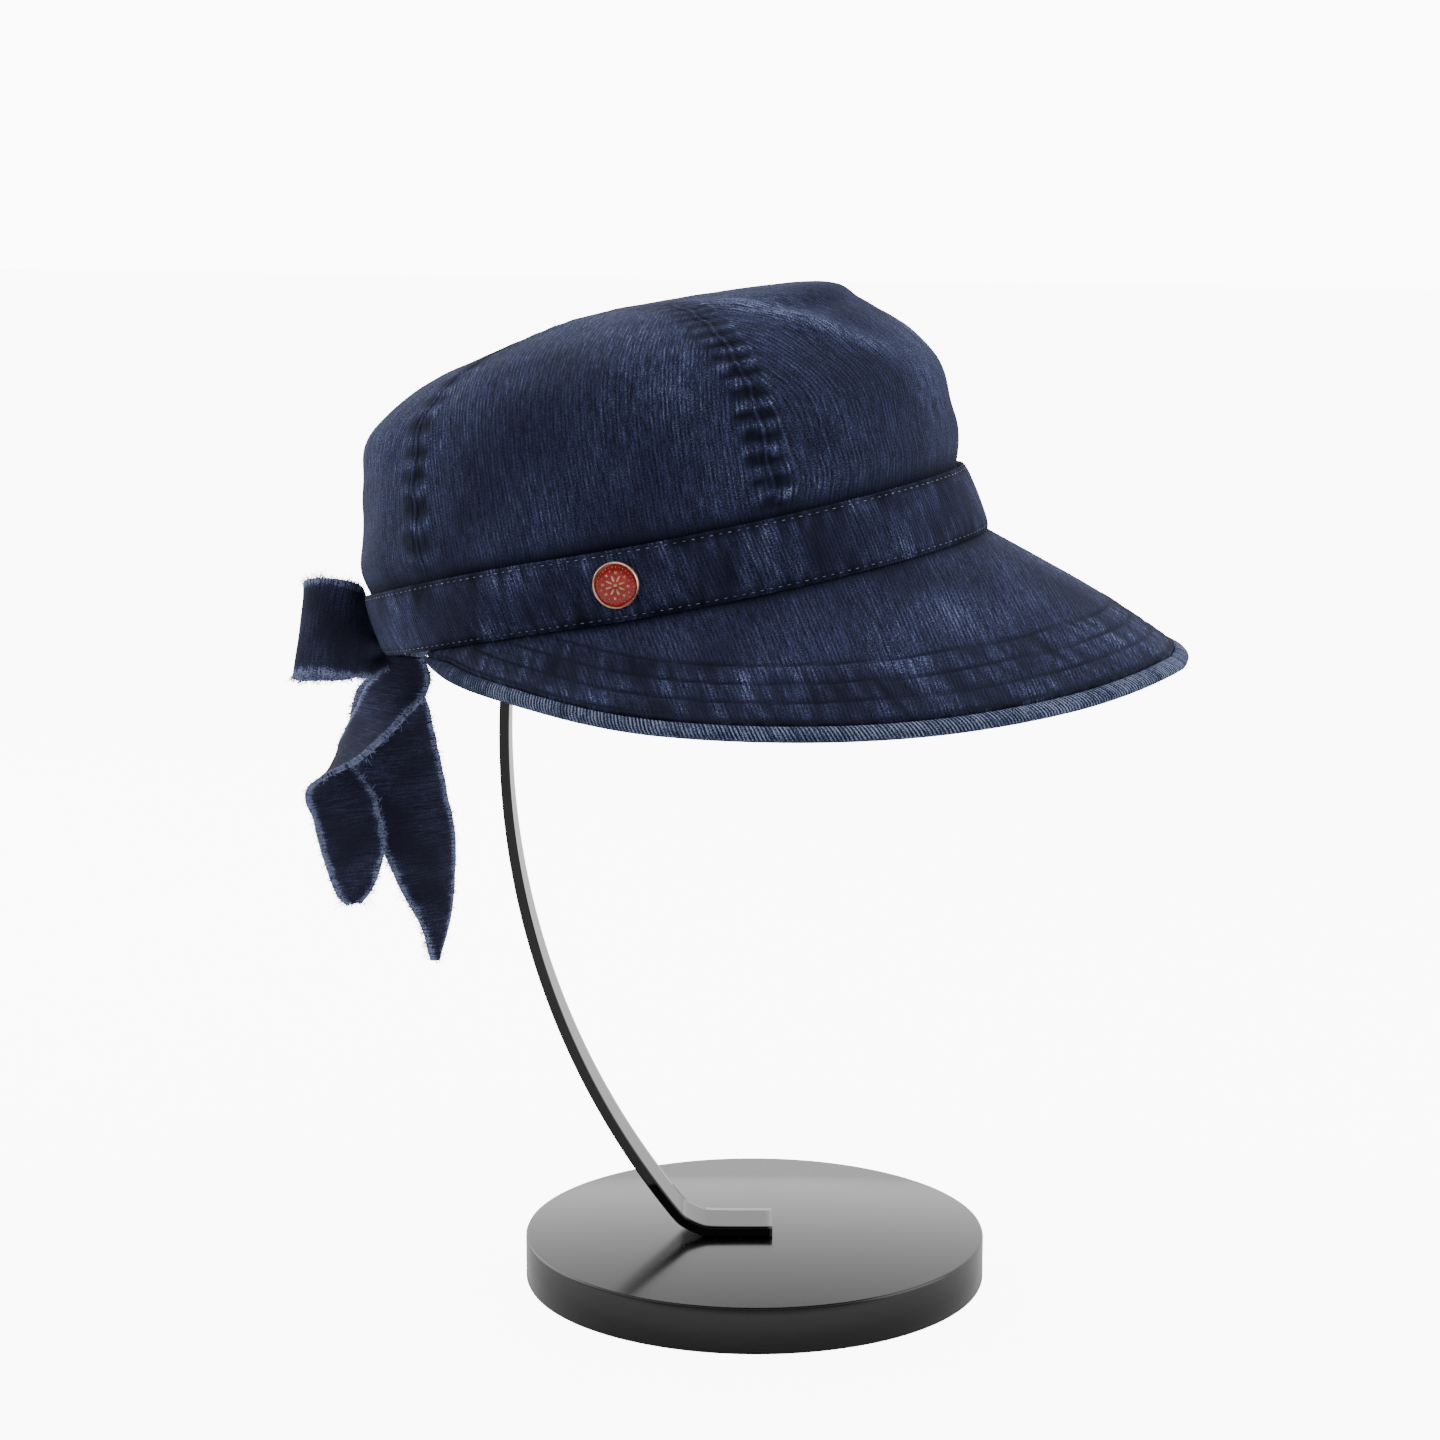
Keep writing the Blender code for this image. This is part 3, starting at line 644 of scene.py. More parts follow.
def make_crown(denim):
    data, share_round, share_up = cells(*CROWN_CELLS)
    hem = CROWN_HEM_ROWS / CROWN_CELLS[1]
    turn = crown_turns(share_round)
    climb, up = crown_climbs(np.clip((share_up - hem) / (1 - hem), 0, 1))
    girth = np.linalg.norm(crown_points(turn, climb)[:, :2], axis=1)
    proud, worn_and_painted_light = seam_relief(turn, climb, up, girth)
    outside = crown_points(turn, climb)
    soft = 0.00050 * cloudy(outside, 0.024, 1) + 0.00018 * cloudy(outside, 0.0085, 2)
    low_folds = cloudy(outside * np.array((1, 1, 2.6)), 0.017, 3)
    low_folds = hump(np.degrees(climb) - 9, 8) * 0.0007 * low_folds
    start = ease(up / 0.004)
    slack = front_ridge(turn, climb)
    proud = proud + (soft + low_folds + RIDGE_LIFT * slack) * start
    places = crown_points(turn, climb, proud)
    tucked = share_up < hem - 1e-6
    level = 1 - CROWN_TUCK / BAND_HEIGHT * (1 - share_up / hem)
    behind_band = band_points(turn, level, BAND_WALL + GAP)
    places = np.where(tucked[:, None], behind_band, places)
    # Random fading, and painted shade that darkens the cloth just above the band where the crown meets
    # it.
    worn_and_painted_light = worn_and_painted_light + 0.14 * cloudy(outside, 0.03, 4) - 0.26 * hump(up, 0.0035)
    # Lighter towards the top, and a painted highlight along the slack ridges at each side of the front.
    worn_and_painted_light = worn_and_painted_light + 0.05 * ease((np.degrees(climb) - 35) / 40) + 0.22 * slack
    vertex, face = corners(data)
    face_turn = np.bincount(face, np.degrees(turn)[vertex]) / np.bincount(face)
    cloth = crown_cut(face_turn[face], outside[vertex], up[vertex])
    dress(data, on_stand(places), cloth, worn_and_painted_light)
    crown = piece_of("crown_cloth", data, denim, ("crown",), weld=True)
    return wall(crown, CROWN_WALL, -1)


def crown_cut(face_turn, places, up):
    """Each panel's cloth is cut with its threads running straight up its middle."""
    starts = np.array([row[0] for row in SEAM_TABLE], float)
    ends = np.append(starts[1:], starts[0] + 360)
    middles = (starts + ends) / 2
    panel = np.searchsorted(starts, face_turn, side="right") - 1
    middle = np.radians(middles[panel])
    aside = places[:, 1] * np.cos(middle) - places[:, 0] * np.sin(middle)
    return stack(aside + 0.3 * panel, up)


def band_relief(turn, level):
    """How far the band's cloth stands proud, and its closeness to the stitched rows."""
    height = level * BAND_HEIGHT
    from_top = BAND_HEIGHT - height
    outside = band_points(turn, level)
    rows, near_rows = (
        hump(from_top - BAND_ROW, spread) + hump(height - BAND_ROW, spread)
        for spread in (ROW_SPREAD, BAND_ROW_REACH)
    )
    puckers = cloudy(outside * np.array((1, 1, 0.30)), 0.0044, 6)
    proud = -0.00030 * rows + 0.00026 * puckers * near_rows
    proud = proud + 0.00042 * cloudy(outside, 0.03, 7)
    folded = np.maximum(0, 1 - from_top / BAND_FOLD) ** 2
    folded = folded + np.maximum(0, 1 - height / BAND_FOLD) ** 2
    return proud - 0.0005 * folded, rows, near_rows


def make_band(denim):
    data, share_round, level = cells(*BAND_CELLS)
    turn = 2 * math.pi * (share_round - 0.5)
    outside = band_points(turn, level)
    girth = turn * (BAND_FOOT_LENGTH + BAND_FOOT_WIDTH) / 4
    proud, rows, near_rows = band_relief(turn, level)
    places = band_points(turn, level, -proud)
    streaks = cloudy(outside * np.array((1, 1, 0.22)), 0.0026, 8)
    patches = cloudy(outside * np.array((1, 1, 0.7)), 0.0095, 18)
    broad = cloudy(outside, 0.030, 9)
    worn_and_painted_light = (0.25 * streaks + 0.24 * patches) * (0.45 + 0.75 * near_rows)
    worn_and_painted_light = worn_and_painted_light + 0.24 * broad - 0.05 - 0.30 * rows
    cloth = stack(girth, level * BAND_HEIGHT)
    dress(data, on_stand(places), cloth, worn_and_painted_light)
    band = piece_of("band_cloth", data, denim, ("band",), weld=True)
    return wall(band, BAND_WALL, -1)


def rim_length(turn):
    """Length along the peak's rim from its middle to a turn."""
    fine = np.radians(np.linspace(-PEAK_SWEEP, PEAK_SWEEP, FINE_TURNS))
    root, along, _, width, _ = peak_frame(fine)
    run = path_length(root + along * width[:, None])
    return np.interp(turn, fine, run - run[-1] / 2)


def peak_relief(turn, share):
    """How far the peak's cloth stands proud, its stitched rows and the puckers between."""
    _, _, _, width, lip = peak_frame(turn)
    to_lip = (1 - share) * (width - lip)
    rim_run = rim_length(turn)
    rows = 0.0 * turn
    for row in PEAK_ROWS_FROM_LIP:
        rows = rows + hump(to_lip - row, ROW_SPREAD) * ease((width - lip - row) / 0.006)
    rows = np.clip(rows, 0, 1)
    quilted = ease((PEAK_QUILT - to_lip) / 0.004) * (1 - rows)
    puckers = cloudy(stack(rim_run + 0.25 * to_lip, 0.30 * to_lip, 0 * turn), 0.0034, 11)
    proud = quilted * (0.00010 + 0.00028 * puckers) - 0.00036 * rows
    proud = proud + 0.00045 * cloudy(peak_points(turn, share), 0.035, 13)
    return proud * ease(share / 0.1), rows, quilted, puckers


def make_peak(denim):
    data, share_round, share_in = cells(*PEAK_CELLS)
    turn = np.radians(PEAK_SWEEP) * (2 * share_round - 1)
    _, _, _, width, lip = peak_frame(turn)
    share = mix(1, -PEAK_HIDDEN / width, share_in)
    outside = peak_points(turn, share)
    to_lip = (1 - share) * (width - lip)
    proud, rows, quilted, puckers = peak_relief(turn, share)
    places = peak_points(turn, share, proud)
    broad = cloudy(stack(rim_length(turn), to_lip, 0 * turn), 0.013, 12)
    worn_and_painted_light = quilted * (0.27 * puckers + 0.16 * broad - 0.01) - 0.24 * rows
    # Random fading, and painted shade that darkens the peak at its root under the band.
    worn_and_painted_light = worn_and_painted_light + 0.16 * cloudy(outside, 0.020, 14) - 0.20 * hump(share * width, 0.003)
    # Painted shadow: a dark line where the lip begins.
    worn_and_painted_light = worn_and_painted_light - 0.15 * hump(to_lip, 0.0008)
    grain = np.array((math.cos(PEAK_GRAIN), math.sin(PEAK_GRAIN)))
    cloth = stack(outside[:, 0] * grain[1] - outside[:, 1] * grain[0], outside[:, :2] @ grain)
    dress(data, on_stand(places), cloth, worn_and_painted_light)
    peak = piece_of("peak_cloth", data, denim, ("peak",))
    return wall(peak, PEAK_WALL, -1)


def make_lip(edge_denim):
    """The rolled edge, as a tube of cloth that follows the rim."""
    data, share_round, share_over = cells(*LIP_CELLS)
    turn = np.radians(PEAK_SWEEP) * (1 - 2 * share_round)
    root, along, upper, width, lip = peak_frame(turn)
    depth = LIP_THICKNESS * lip / LIP_WIDTH
    angle = 2 * math.pi * share_over
    rim_run = rim_length(turn)
    swell = 1 + 0.05 * cloudy(stack(rim_run, 0 * turn, 0 * turn), 0.004, 15)
    out = np.sign(np.cos(angle)) * np.abs(np.cos(angle)) ** 0.8 * lip / 2
    over = np.sign(np.sin(angle)) * np.abs(np.sin(angle)) ** 0.8 * depth / 2 * swell
    middle = root + along * (width - lip / 2)[:, None] - upper * (depth * 0.42)[:, None]
    places = middle + along * out[:, None] + upper * over[:, None]
    worn_and_painted_light = 0.16 * cloudy(stack(rim_run, 0 * turn, 0 * turn), 0.007, 16)
    worn_and_painted_light = worn_and_painted_light + 0.20 * cloudy(stack(rim_run, 0.003 * np.sin(angle), 0 * turn), 0.0024, 17)
    # Painted light and shade: the top of the roll is lighter and its underside darker.
    worn_and_painted_light = worn_and_painted_light + 0.14 * np.sin(angle) - 0.5 * hump(np.sin(angle) + 1, 0.5)
    # Darker towards the ends of the lip.
    worn_and_painted_light = worn_and_painted_light - 0.30 * ease((np.abs(np.degrees(turn)) - 95) / 25)
    cloth = stack(rim_run + 0.25 * angle * lip / 2, angle * lip / 2)
    dress(data, on_stand(places), cloth, worn_and_painted_light)
    lip_piece = piece_of("peak_lip_cloth", data, edge_denim, ("peak_lip",), weld=True)
    cap_ends(lip_piece.data)
    return lip_piece


def cap_ends(data):
    """Closes a tube's open ends."""
    tube = bmesh.new()
    tube.from_mesh(data)
    rims = [edge for edge in tube.edges if edge.is_boundary]
    bmesh.ops.holes_fill(tube, edges=rims, sides=0)
    bmesh.ops.recalc_face_normals(tube, faces=tube.faces)
    tube.to_mesh(data)
    tube.free()


# Stitches and threads


def even_places(points, outward, pitch):
    """Places at an even pitch along a line, with the line's heading and the outward side."""
    run = path_length(points)
    count = int(run[-1] / pitch)
    at = (np.arange(count) + 0.5) * pitch
    spots = along_path(at, run, points)
    ahead = along_path(at + pitch / 4, run, points)
    return spots, ahead - spots, along_path(at, run, outward)


def stitch_row(name, lines, thread, slot, length, gap, girth):
    """Rows of short stitches that lie on the cloth along lines of (points, outward)."""
    rows = bmesh.new()
    draw = random.Random(len(name))
    for points, outward in lines:
        for spot, heading, side in zip(*even_places(points, outward, length + gap)):
            heading = Vector(heading).normalized()
            side = Vector(side).normalized()
            across = side.cross(heading).normalized()
            across = (across + heading * draw.uniform(-0.12, 0.12)).normalized()
            side = heading.cross(across)
            turned = Matrix((heading, across, side)).transposed().to_4x4()
            half = length / 2 * draw.uniform(0.85, 1.05)
            size = Matrix.Diagonal((half, girth / 2, girth * 0.4, 1))
            place = Matrix.Translation(Vector(spot)) @ turned @ size
            bmesh.ops.create_uvsphere(rows, u_segments=6, v_segments=5, radius=1, matrix=place)
    return piece_of(name, mesh_of(rows, name), thread)


def band_line(level):
    turn = np.linspace(-math.pi, math.pi, FINE_TURNS)
    level = 0 * turn + level
    proud = band_relief(turn, level)[0]
    points = band_points(turn, level, -proud)
    return on_stand(points), band_outward(turn, level) @ CAP[:3, :3].T


def make_band_stitches(thread):
    top = band_line(1 - BAND_ROW / BAND_HEIGHT)
    foot = band_line(BAND_ROW / BAND_HEIGHT)
    return stitch_row("band_stitches", [top, foot], thread, "denim_edge", *BAND_STITCH)


def make_peak_stitches(thread):
    lines = []
    for row in PEAK_ROWS_FROM_LIP:
        turn = np.radians(np.linspace(-PEAK_SWEEP, PEAK_SWEEP, FINE_TURNS))
        _, _, upper, width, lip = peak_frame(turn)
        share = 1 - row / (width - lip)
        kept = share * width > 0.004
        turn = turn[kept]
        share = share[kept]
        points = peak_points(turn, share, peak_relief(turn, share)[0] - 0.00005)
        lines.append((on_stand(points), upper[kept] @ CAP[:3, :3].T))
    return stitch_row("peak_stitches", lines, thread, "denim", *PEAK_STITCH)


def fray(name, edges, thread, seed, tuft_at):
    """Loose threads along raw edges, each edge given as (points, outward, face).

    They are longest round tuft_at, a share of the way along each edge.
    """
    draw = random.Random(seed)
    strands = bpy.data.curves.new(name, "CURVE")
    strands.dimensions = "3D"
    strands.bevel_depth = FRAY_GIRTH
    strands.bevel_resolution = 0
    for points, outward, face in edges:
        run = path_length(points)
        for _ in range(int(run[-1] * FRAY_DENSITY)):
            at = draw.uniform(0, run[-1])
            spot = Vector(along_path(at, run, points))
            out = Vector(along_path(at, run, outward)).normalized()
            side = Vector(along_path(at, run, face)).normalized()
            ahead = out.cross(side)
            heading = out + ahead * draw.gauss(0, 0.85) + side * draw.gauss(0, 0.55)
            heading = heading.normalized()
            curl = (ahead * draw.gauss(0, 0.7) + side * draw.gauss(0, 0.5)) * 0.5
            tuft = 1 + FRAY_TUFT * hump(at / run[-1] - tuft_at, FRAY_TUFT_SPREAD)
            length = FRAY_REACH * tuft * draw.uniform(0.35, 1.0)
            length = length * (1.5 if draw.random() < 0.06 else 1)
            spot = spot - out * draw.uniform(0.0001, 0.0011)
            spot = spot + side * draw.uniform(-0.0006, 0.0006)
            strand = strands.splines.new("POLY")
            strand.points.add(3)
            for step in range(4):
                along = step / 3
                bend = heading * along + curl * along * along
                strand.points[step].co = (*(spot + bend * length), 1)
                strand.points[step].radius = 1.0 - 0.45 * along
    data = final_mesh(put_in_scene(name + "_line", strands))
    return piece_of(name, data, thread)


# Bow


def knot_middle():
    back = band_points(np.array(math.pi), np.array(KNOT_LEVEL))
    return back - np.array((GAP + BAND_BELLY + KNOT_DEPTH / 2, 0, 0))


def loop_points(side, share_across, share_along):
    """The ribbon of one loop; side is 1 for the wearer's left and -1 for the right."""
    level = np.array((-math.sin(LOOP_SWEEP), side * math.cos(LOOP_SWEEP), 0))
    across = np.array((-math.cos(LOOP_SWEEP), -side * math.sin(LOOP_SWEEP), 0))
    start = knot_middle() + np.array((0, side * (KNOT_WIDTH / 2 + GAP), 0))
    plan = read_table(LOOP_COLUMNS, LOOP_TABLE, share_along * (len(LOOP_TABLE) - 1))
    out = plan["out"]
    rise = LOOP_RISE * ease(out / 0.6)
    run = LOOP_LENGTH * out
    middle = start + level * (run * np.cos(rise))[:, None] + stack(0, 0, run * np.sin(rise))
    upright = stack(0 * rise, 0 * rise, np.cos(rise)) - level * np.sin(rise)[:, None]
    flare_end = mix(LOOP_LOWER_FLARE_END, LOOP_FLARE_END, share_across + 0.5)
    spread = mix(LOOP_PINCH, 1, ease(out / flare_end)) * LOOP_WIDTH
    spot = middle + across * (LOOP_DEPTH * plan["across"])[:, None]
    spot = spot + upright * (spread * share_across)[:, None]
    spot = spot - level * (LOOP_LEAN * share_across * ease(out))[:, None]
    outer = np.where(share_along < 0.5, 1.0, -1.0)
    pleats = np.cos(2 * math.pi * 2.6 * share_across + side + 2.0 * outer)
    crease = 0.0011 * pleats * (1 - ease((out - 0.05) / 0.75)) * ease(out / 0.12)
    flare = 0.0013 * (2 * share_across) ** 2 * ease(out) * (1 - ease((out - 0.8) / 0.2)) * outer
    soft = 0.0007 * cloudy(spot, 0.013, 21) * ease(out / 0.4)
    return spot + across * (crease + flare + soft)[:, None]


def tail_points(table, length, share_across, share_down):
    """The ribbon of one tail, which hangs upright from under the knot."""
    drop = mix(table[0][0], 1, share_down)
    under = knot_middle() - np.array((0, 0, KNOT_HEIGHT / 2))
    lean = KNOT_DEPTH / 2 * KNOT_END_GIRTH * math.sin(CAP_TILT)
    root = on_stand(under) - np.array((0, 0, lean + RIBBON_WALL / 4 + GAP))
    shape = read_table(TAIL_COLUMNS, table, drop)
    facing = np.radians(shape["facing"])
    shift = stack(-shape["back"] * RIBBON_WIDTH, shape["left"] * RIBBON_WIDTH, -drop * length)
    width = RIBBON_WIDTH * shape["width"]
    aside = stack(np.cos(facing), np.sin(facing), 0 * facing)
    face = stack(-np.sin(facing), np.cos(facing), 0 * facing)
    ragged = 1 + 0.035 * cloudy(stack(drop * length, np.sign(share_across), 0), 0.006, 23)
    curl = RIBBON_WIDTH * TAIL_CURL * (2 * share_across) ** 2
    spot = root + shift + aside * (width * share_across * ragged)[:, None] + face * curl[:, None]
    soft = 0.0009 * cloudy(spot, 0.016, 24) * ease(drop / 0.15)
    return spot + face * soft[:, None]


def raw_edge(grid, outer, inner):
    """A raw edge of a ribbon: its points, the way off the cloth and the cloth's face."""
    edge = grid[:, outer]
    out = edge - grid[:, inner]
    out = out / np.linalg.norm(out, axis=1, keepdims=True)
    ahead = np.gradient(edge, axis=0)
    face = np.cross(out, ahead)
    return edge, out, face / np.linalg.norm(face, axis=1, keepdims=True)


def make_ribbon(name, node, form, denim, thread, held, seed):
    """A ribbon of raw-edged cloth and its frayed threads."""
    columns, rows = RIBBON_CELLS
    data, share_across, share_along = cells(columns, rows)
    order = np.lexsort((np.round(share_across, 5), np.round(share_along, 5)))
    places = form(share_across - 0.5, share_along)
    grid = places[order].reshape(rows + 1, columns + 1, 3)
    run = path_length(grid[:, columns // 2])
    cut_width = np.linalg.norm(np.diff(grid, axis=1), axis=2).sum(axis=1)
    row_share = np.linspace(0, 1, rows + 1)
    along = np.interp(share_along, row_share, run)
    widths = np.interp(share_along, row_share, cut_width)
    across = (share_across - 0.5) * widths
    to_edge = (0.5 - np.abs(share_across - 0.5)) * widths
    ravelled = hump(to_edge, 0.0016 + 0.0007 * cloudy(places, 0.0030, seed + 7))
    hung = held == "hung"
    worn_and_painted_light = ravelled * (1.05 + 0.65 * cloudy(places, 0.0017, seed + 9))
    # Random fading; the ribbons are darkened all over, and the gathered loops' extra darkening is
    # painted shade.
    worn_and_painted_light = worn_and_painted_light - (0.06 if hung else 0.10) + 0.14 * cloudy(places, 0.010, seed)
    dress(data, places, stack(along, across), worn_and_painted_light)
    ribbon = piece_of(name + "_cloth", data, denim, (node,))
    wall(ribbon, RIBBON_WALL, 0)
    edges = [raw_edge(grid, 0, 1), raw_edge(grid, -1, -2)]
    if hung:
        tip = grid[-1]
        down = np.tile((0.0, 0.0, -1.0), (columns + 1, 1))
        edges.append((tip, down, np.cross(down, np.gradient(tip, axis=0))))
    threads = fray(name + "_fray", edges, thread, seed, 1.0 if hung else 0.5)
    return ribbon


def softened(node, levels, crease_angle=None):
    """A finer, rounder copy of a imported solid's mesh, its sharp edges kept where asked."""
    rough = bmesh.new()
    rough.from_mesh(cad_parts[node].data)
    bmesh.ops.remove_doubles(rough, verts=rough.verts, dist=1e-6)
    bmesh.ops.join_triangles(
        rough, faces=rough.faces, angle_face_threshold=0.7, angle_shape_threshold=3.1
    )
    if crease_angle:
        creases = rough.edges.layers.float.new("crease_edge")
        for edge in rough.edges:
            if edge.calc_face_angle(0) > crease_angle:
                edge[creases] = 1.0
    holder = put_in_scene(node + "_soft", mesh_of(rough, node))
    smoother = holder.modifiers.new("smoother", "SUBSURF")
    smoother.levels = levels
    smoother.render_levels = levels
    return final_mesh(holder)


def make_knot(denim):
    data = softened("bow_knot", 3)
    count = len(data.vertices)
    places = np.zeros((count, 3))
    data.vertices.foreach_get("co", places.ravel())
    normals = np.zeros((count, 3))
    data.vertices.foreach_get("normal", normals.ravel())
    centre = places.mean(axis=0)
    offset = places - centre
    turn = np.arctan2(offset[:, 1], offset[:, 0])
    folds = offset[:, 2] / 0.0042 * math.pi + 1.6 * np.sin(turn)
    folds = np.cos(folds + 2 * cloudy(places, 0.008, 31))
    places = places + normals * (0.00035 * folds + 0.0003 * cloudy(places, 0.004, 32))[:, None]
    # Painted shade: the knot is darkened all over and in the troughs of its folds, lighter on their
    # crests.
    dress(data, places, stack(offset[:, 2], turn * KNOT_WIDTH / 2), 0.30 * folds - 0.25)
    return piece_of("bow_knot_cloth", data, denim, ("bow_knot",))


# Badge


def badge_place():
    turn = np.array([BADGE_TURN])
    outward = Vector(band_outward(turn, np.array([BADGE_LEVEL]))[0])
    above = Vector(band_points(turn, np.array([BADGE_LEVEL + 0.1]))[0])
    below = Vector(band_points(turn, np.array([BADGE_LEVEL - 0.1]))[0])
    up = (above - below).normalized()
    aside = up.cross(outward).normalized()
    outward = aside.cross(up).normalized()
    middle = Vector(band_points(turn, np.array([BADGE_LEVEL]))[0]) + outward * GAP
    place = Matrix((aside, up, outward)).transposed().to_4x4()
    place.translation = middle
    return Matrix(CAP.tolist()) @ place


def spun(name, profile, sides, place, finish, stands_for=()):
    """A turned piece from a profile of (radius, height) pairs."""
    turned = bmesh.new()
    line = [turned.verts.new((radius, 0, height)) for radius, height in profile]
    edges = [turned.edges.new(pair) for pair in zip(line, line[1:])]
    bmesh.ops.spin(
        turned, geom=line + edges, axis=(0, 0, 1), cent=(0, 0, 0),
        angle=2 * math.pi, steps=sides, use_merge=True,
    )
    bmesh.ops.remove_doubles(turned, verts=turned.verts, dist=1e-7)
    bmesh.ops.holes_fill(turned, edges=[e for e in turned.edges if e.is_boundary], sides=0)
    bmesh.ops.recalc_face_normals(turned, faces=turned.faces)
    bmesh.ops.transform(turned, matrix=place, verts=turned.verts)
    data = mesh_of(turned, name)
    piece = piece_of(name, data, finish, stands_for)
    data.set_sharp_from_angle(angle=SHARP_ANGLE)
    return piece


def make_badge(gold, flower_gold, enamel):
    place = badge_place()
    radius = BADGE_WIDTH / 2
    rim = (
        (0.0, 0.0),
        (radius - 0.0004, 0.0),
        (radius - 0.0001, 0.0002),
        (radius, 0.0006),
        (radius, BADGE_THICKNESS - 0.0006),
        (radius - 0.0002, BADGE_THICKNESS - 0.0002),
        (radius - 0.0004, BADGE_THICKNESS),
        (radius - 0.0006, BADGE_THICKNESS - 0.0002),
        (radius - BADGE_RIM, BADGE_THICKNESS - 0.0006),
        (radius - BADGE_RIM, BADGE_FLOOR),
        (0.0, BADGE_FLOOR),
    )
    spun("badge_rim_metal", rim, BADGE_SIDES, place, gold, ("badge_rim",))
    inner = radius - BADGE_RIM - GAP / 3
    face = BADGE_THICKNESS - BADGE_SINK
    glass = (
        (0.0, 0.0009),
        (inner, 0.0009),
        (inner, face - 0.0002),
        (inner - 0.0002, face),
        (inner * 0.6, face + 0.00006),
        (0.0, face + 0.0001),
    )
    spun("badge_enamel_face", glass, BADGE_SIDES, place, enamel, ("badge_enamel",))
    make_ornament(place, face, flower_gold)


def make_ornament(place, face, gold):
    """A plain flower in low relief: petals, a ring of leaves and a ring of beads."""
    relief = bmesh.new()

    def drop(turn, part):
        width, length, height, reach, aside, tilt = part
        turned = Matrix.Rotation(turn + aside, 4, "Z")
        turned = turned @ Matrix.Translation((reach, 0, face + 0.0001))
        size = Matrix.Diagonal((length / 2, width / 2, height, 1))
        matrix = place @ turned @ Matrix.Rotation(tilt, 4, "Z") @ size
        bmesh.ops.create_uvsphere(relief, u_segments=12, v_segments=8, radius=1, matrix=matrix)

    drop(0, FLOWER_HEART)
    for petal in range(FLOWER_PETALS):
        for part in FLOWER_PARTS:
            drop(2 * math.pi * petal / FLOWER_PETALS, part)
    for bead in range(FLOWER_BEADS):
        drop(2 * math.pi * bead / FLOWER_BEADS, FLOWER_BEAD)
    data = mesh_of(relief, "badge_flower")
    return piece_of("badge_flower", data, gold, ("badge_rosette",))


# Stand


def make_stand(gloss, strip_gloss):
    radius = BASE_DIAMETER / 2
    soft = BASE_EDGE * 0.3
    side = (
        (0.0, 0.0),
        (radius - BASE_EDGE, 0.0),
        (radius - soft, soft),
        (radius, BASE_EDGE),
        (radius, BASE_THICKNESS - BASE_EDGE),
        (radius - soft, BASE_THICKNESS - soft),
        (radius - BASE_EDGE, BASE_THICKNESS),
        (0.0, BASE_THICKNESS),
    )
    upright = Matrix.Identity(4)
    spun("stand_base_gloss", side, BASE_SIDES, upright, gloss, ("stand_base",))
    data = softened("stand_strip", 3, crease_angle=math.radians(60))
    strip = piece_of("stand_strip_gloss", data, strip_gloss, ("stand_strip",))
    data.set_sharp_from_angle(angle=SHARP_ANGLE)
    return strip


# Materials


def screen(colour):
    """A colour from 0 to 255 as it looks on a screen, as light."""
    light = []
    for value in colour:
        share = value / 255
        light.append(share / 12.92 if share <= 0.04045 else ((share + 0.055) / 1.055) ** 2.4)
    return (*light, 1.0)


def node(tree, kind, inputs=None, **settings):
    """A shader node with its settings, its values and its links."""
    made = tree.nodes.new(kind)
    for key, value in settings.items():
        setattr(made, key, value)
    for key, value in (inputs or {}).items():
        socket = made.inputs[key]
        if isinstance(value, bpy.types.NodeSocket):
            tree.links.new(value, socket)
        else:
            socket.default_value = value
    return made


def sums(tree, operation, first, second=0.0, third=0.0, clamp=False):
    values = {0: first, 1: second}
    if operation == "MULTIPLY_ADD":
        values[2] = third
    return node(tree, "ShaderNodeMath", values, operation=operation, use_clamp=clamp).outputs[0]


def stretched_noise(tree, source, scale, detail):
    """Noise on a map, with the map stretched by a scale each way."""
    sized = node(tree, "ShaderNodeVectorMath", {0: source, 1: scale}, operation="MULTIPLY")
    found = node(
        tree, "ShaderNodeTexNoise",
        {"Vector": sized.outputs[0], "Scale": 1.0, "Detail": detail, "Roughness": 0.6},
    )
    return found.outputs["Fac"]


def ramp(tree, source, stops):
    """Colours by value: stops are (place, screen colour)."""
    made = node(tree, "ShaderNodeValToRGB", {"Fac": source})
    elements = made.color_ramp.elements
    while len(elements) > 1:
        elements.remove(elements[-1])
    elements[0].position = stops[0][0]
    elements[0].color = screen(stops[0][1])
    for place, colour in stops[1:]:
        elements.new(place).color = screen(colour)
    return made.outputs["Color"]


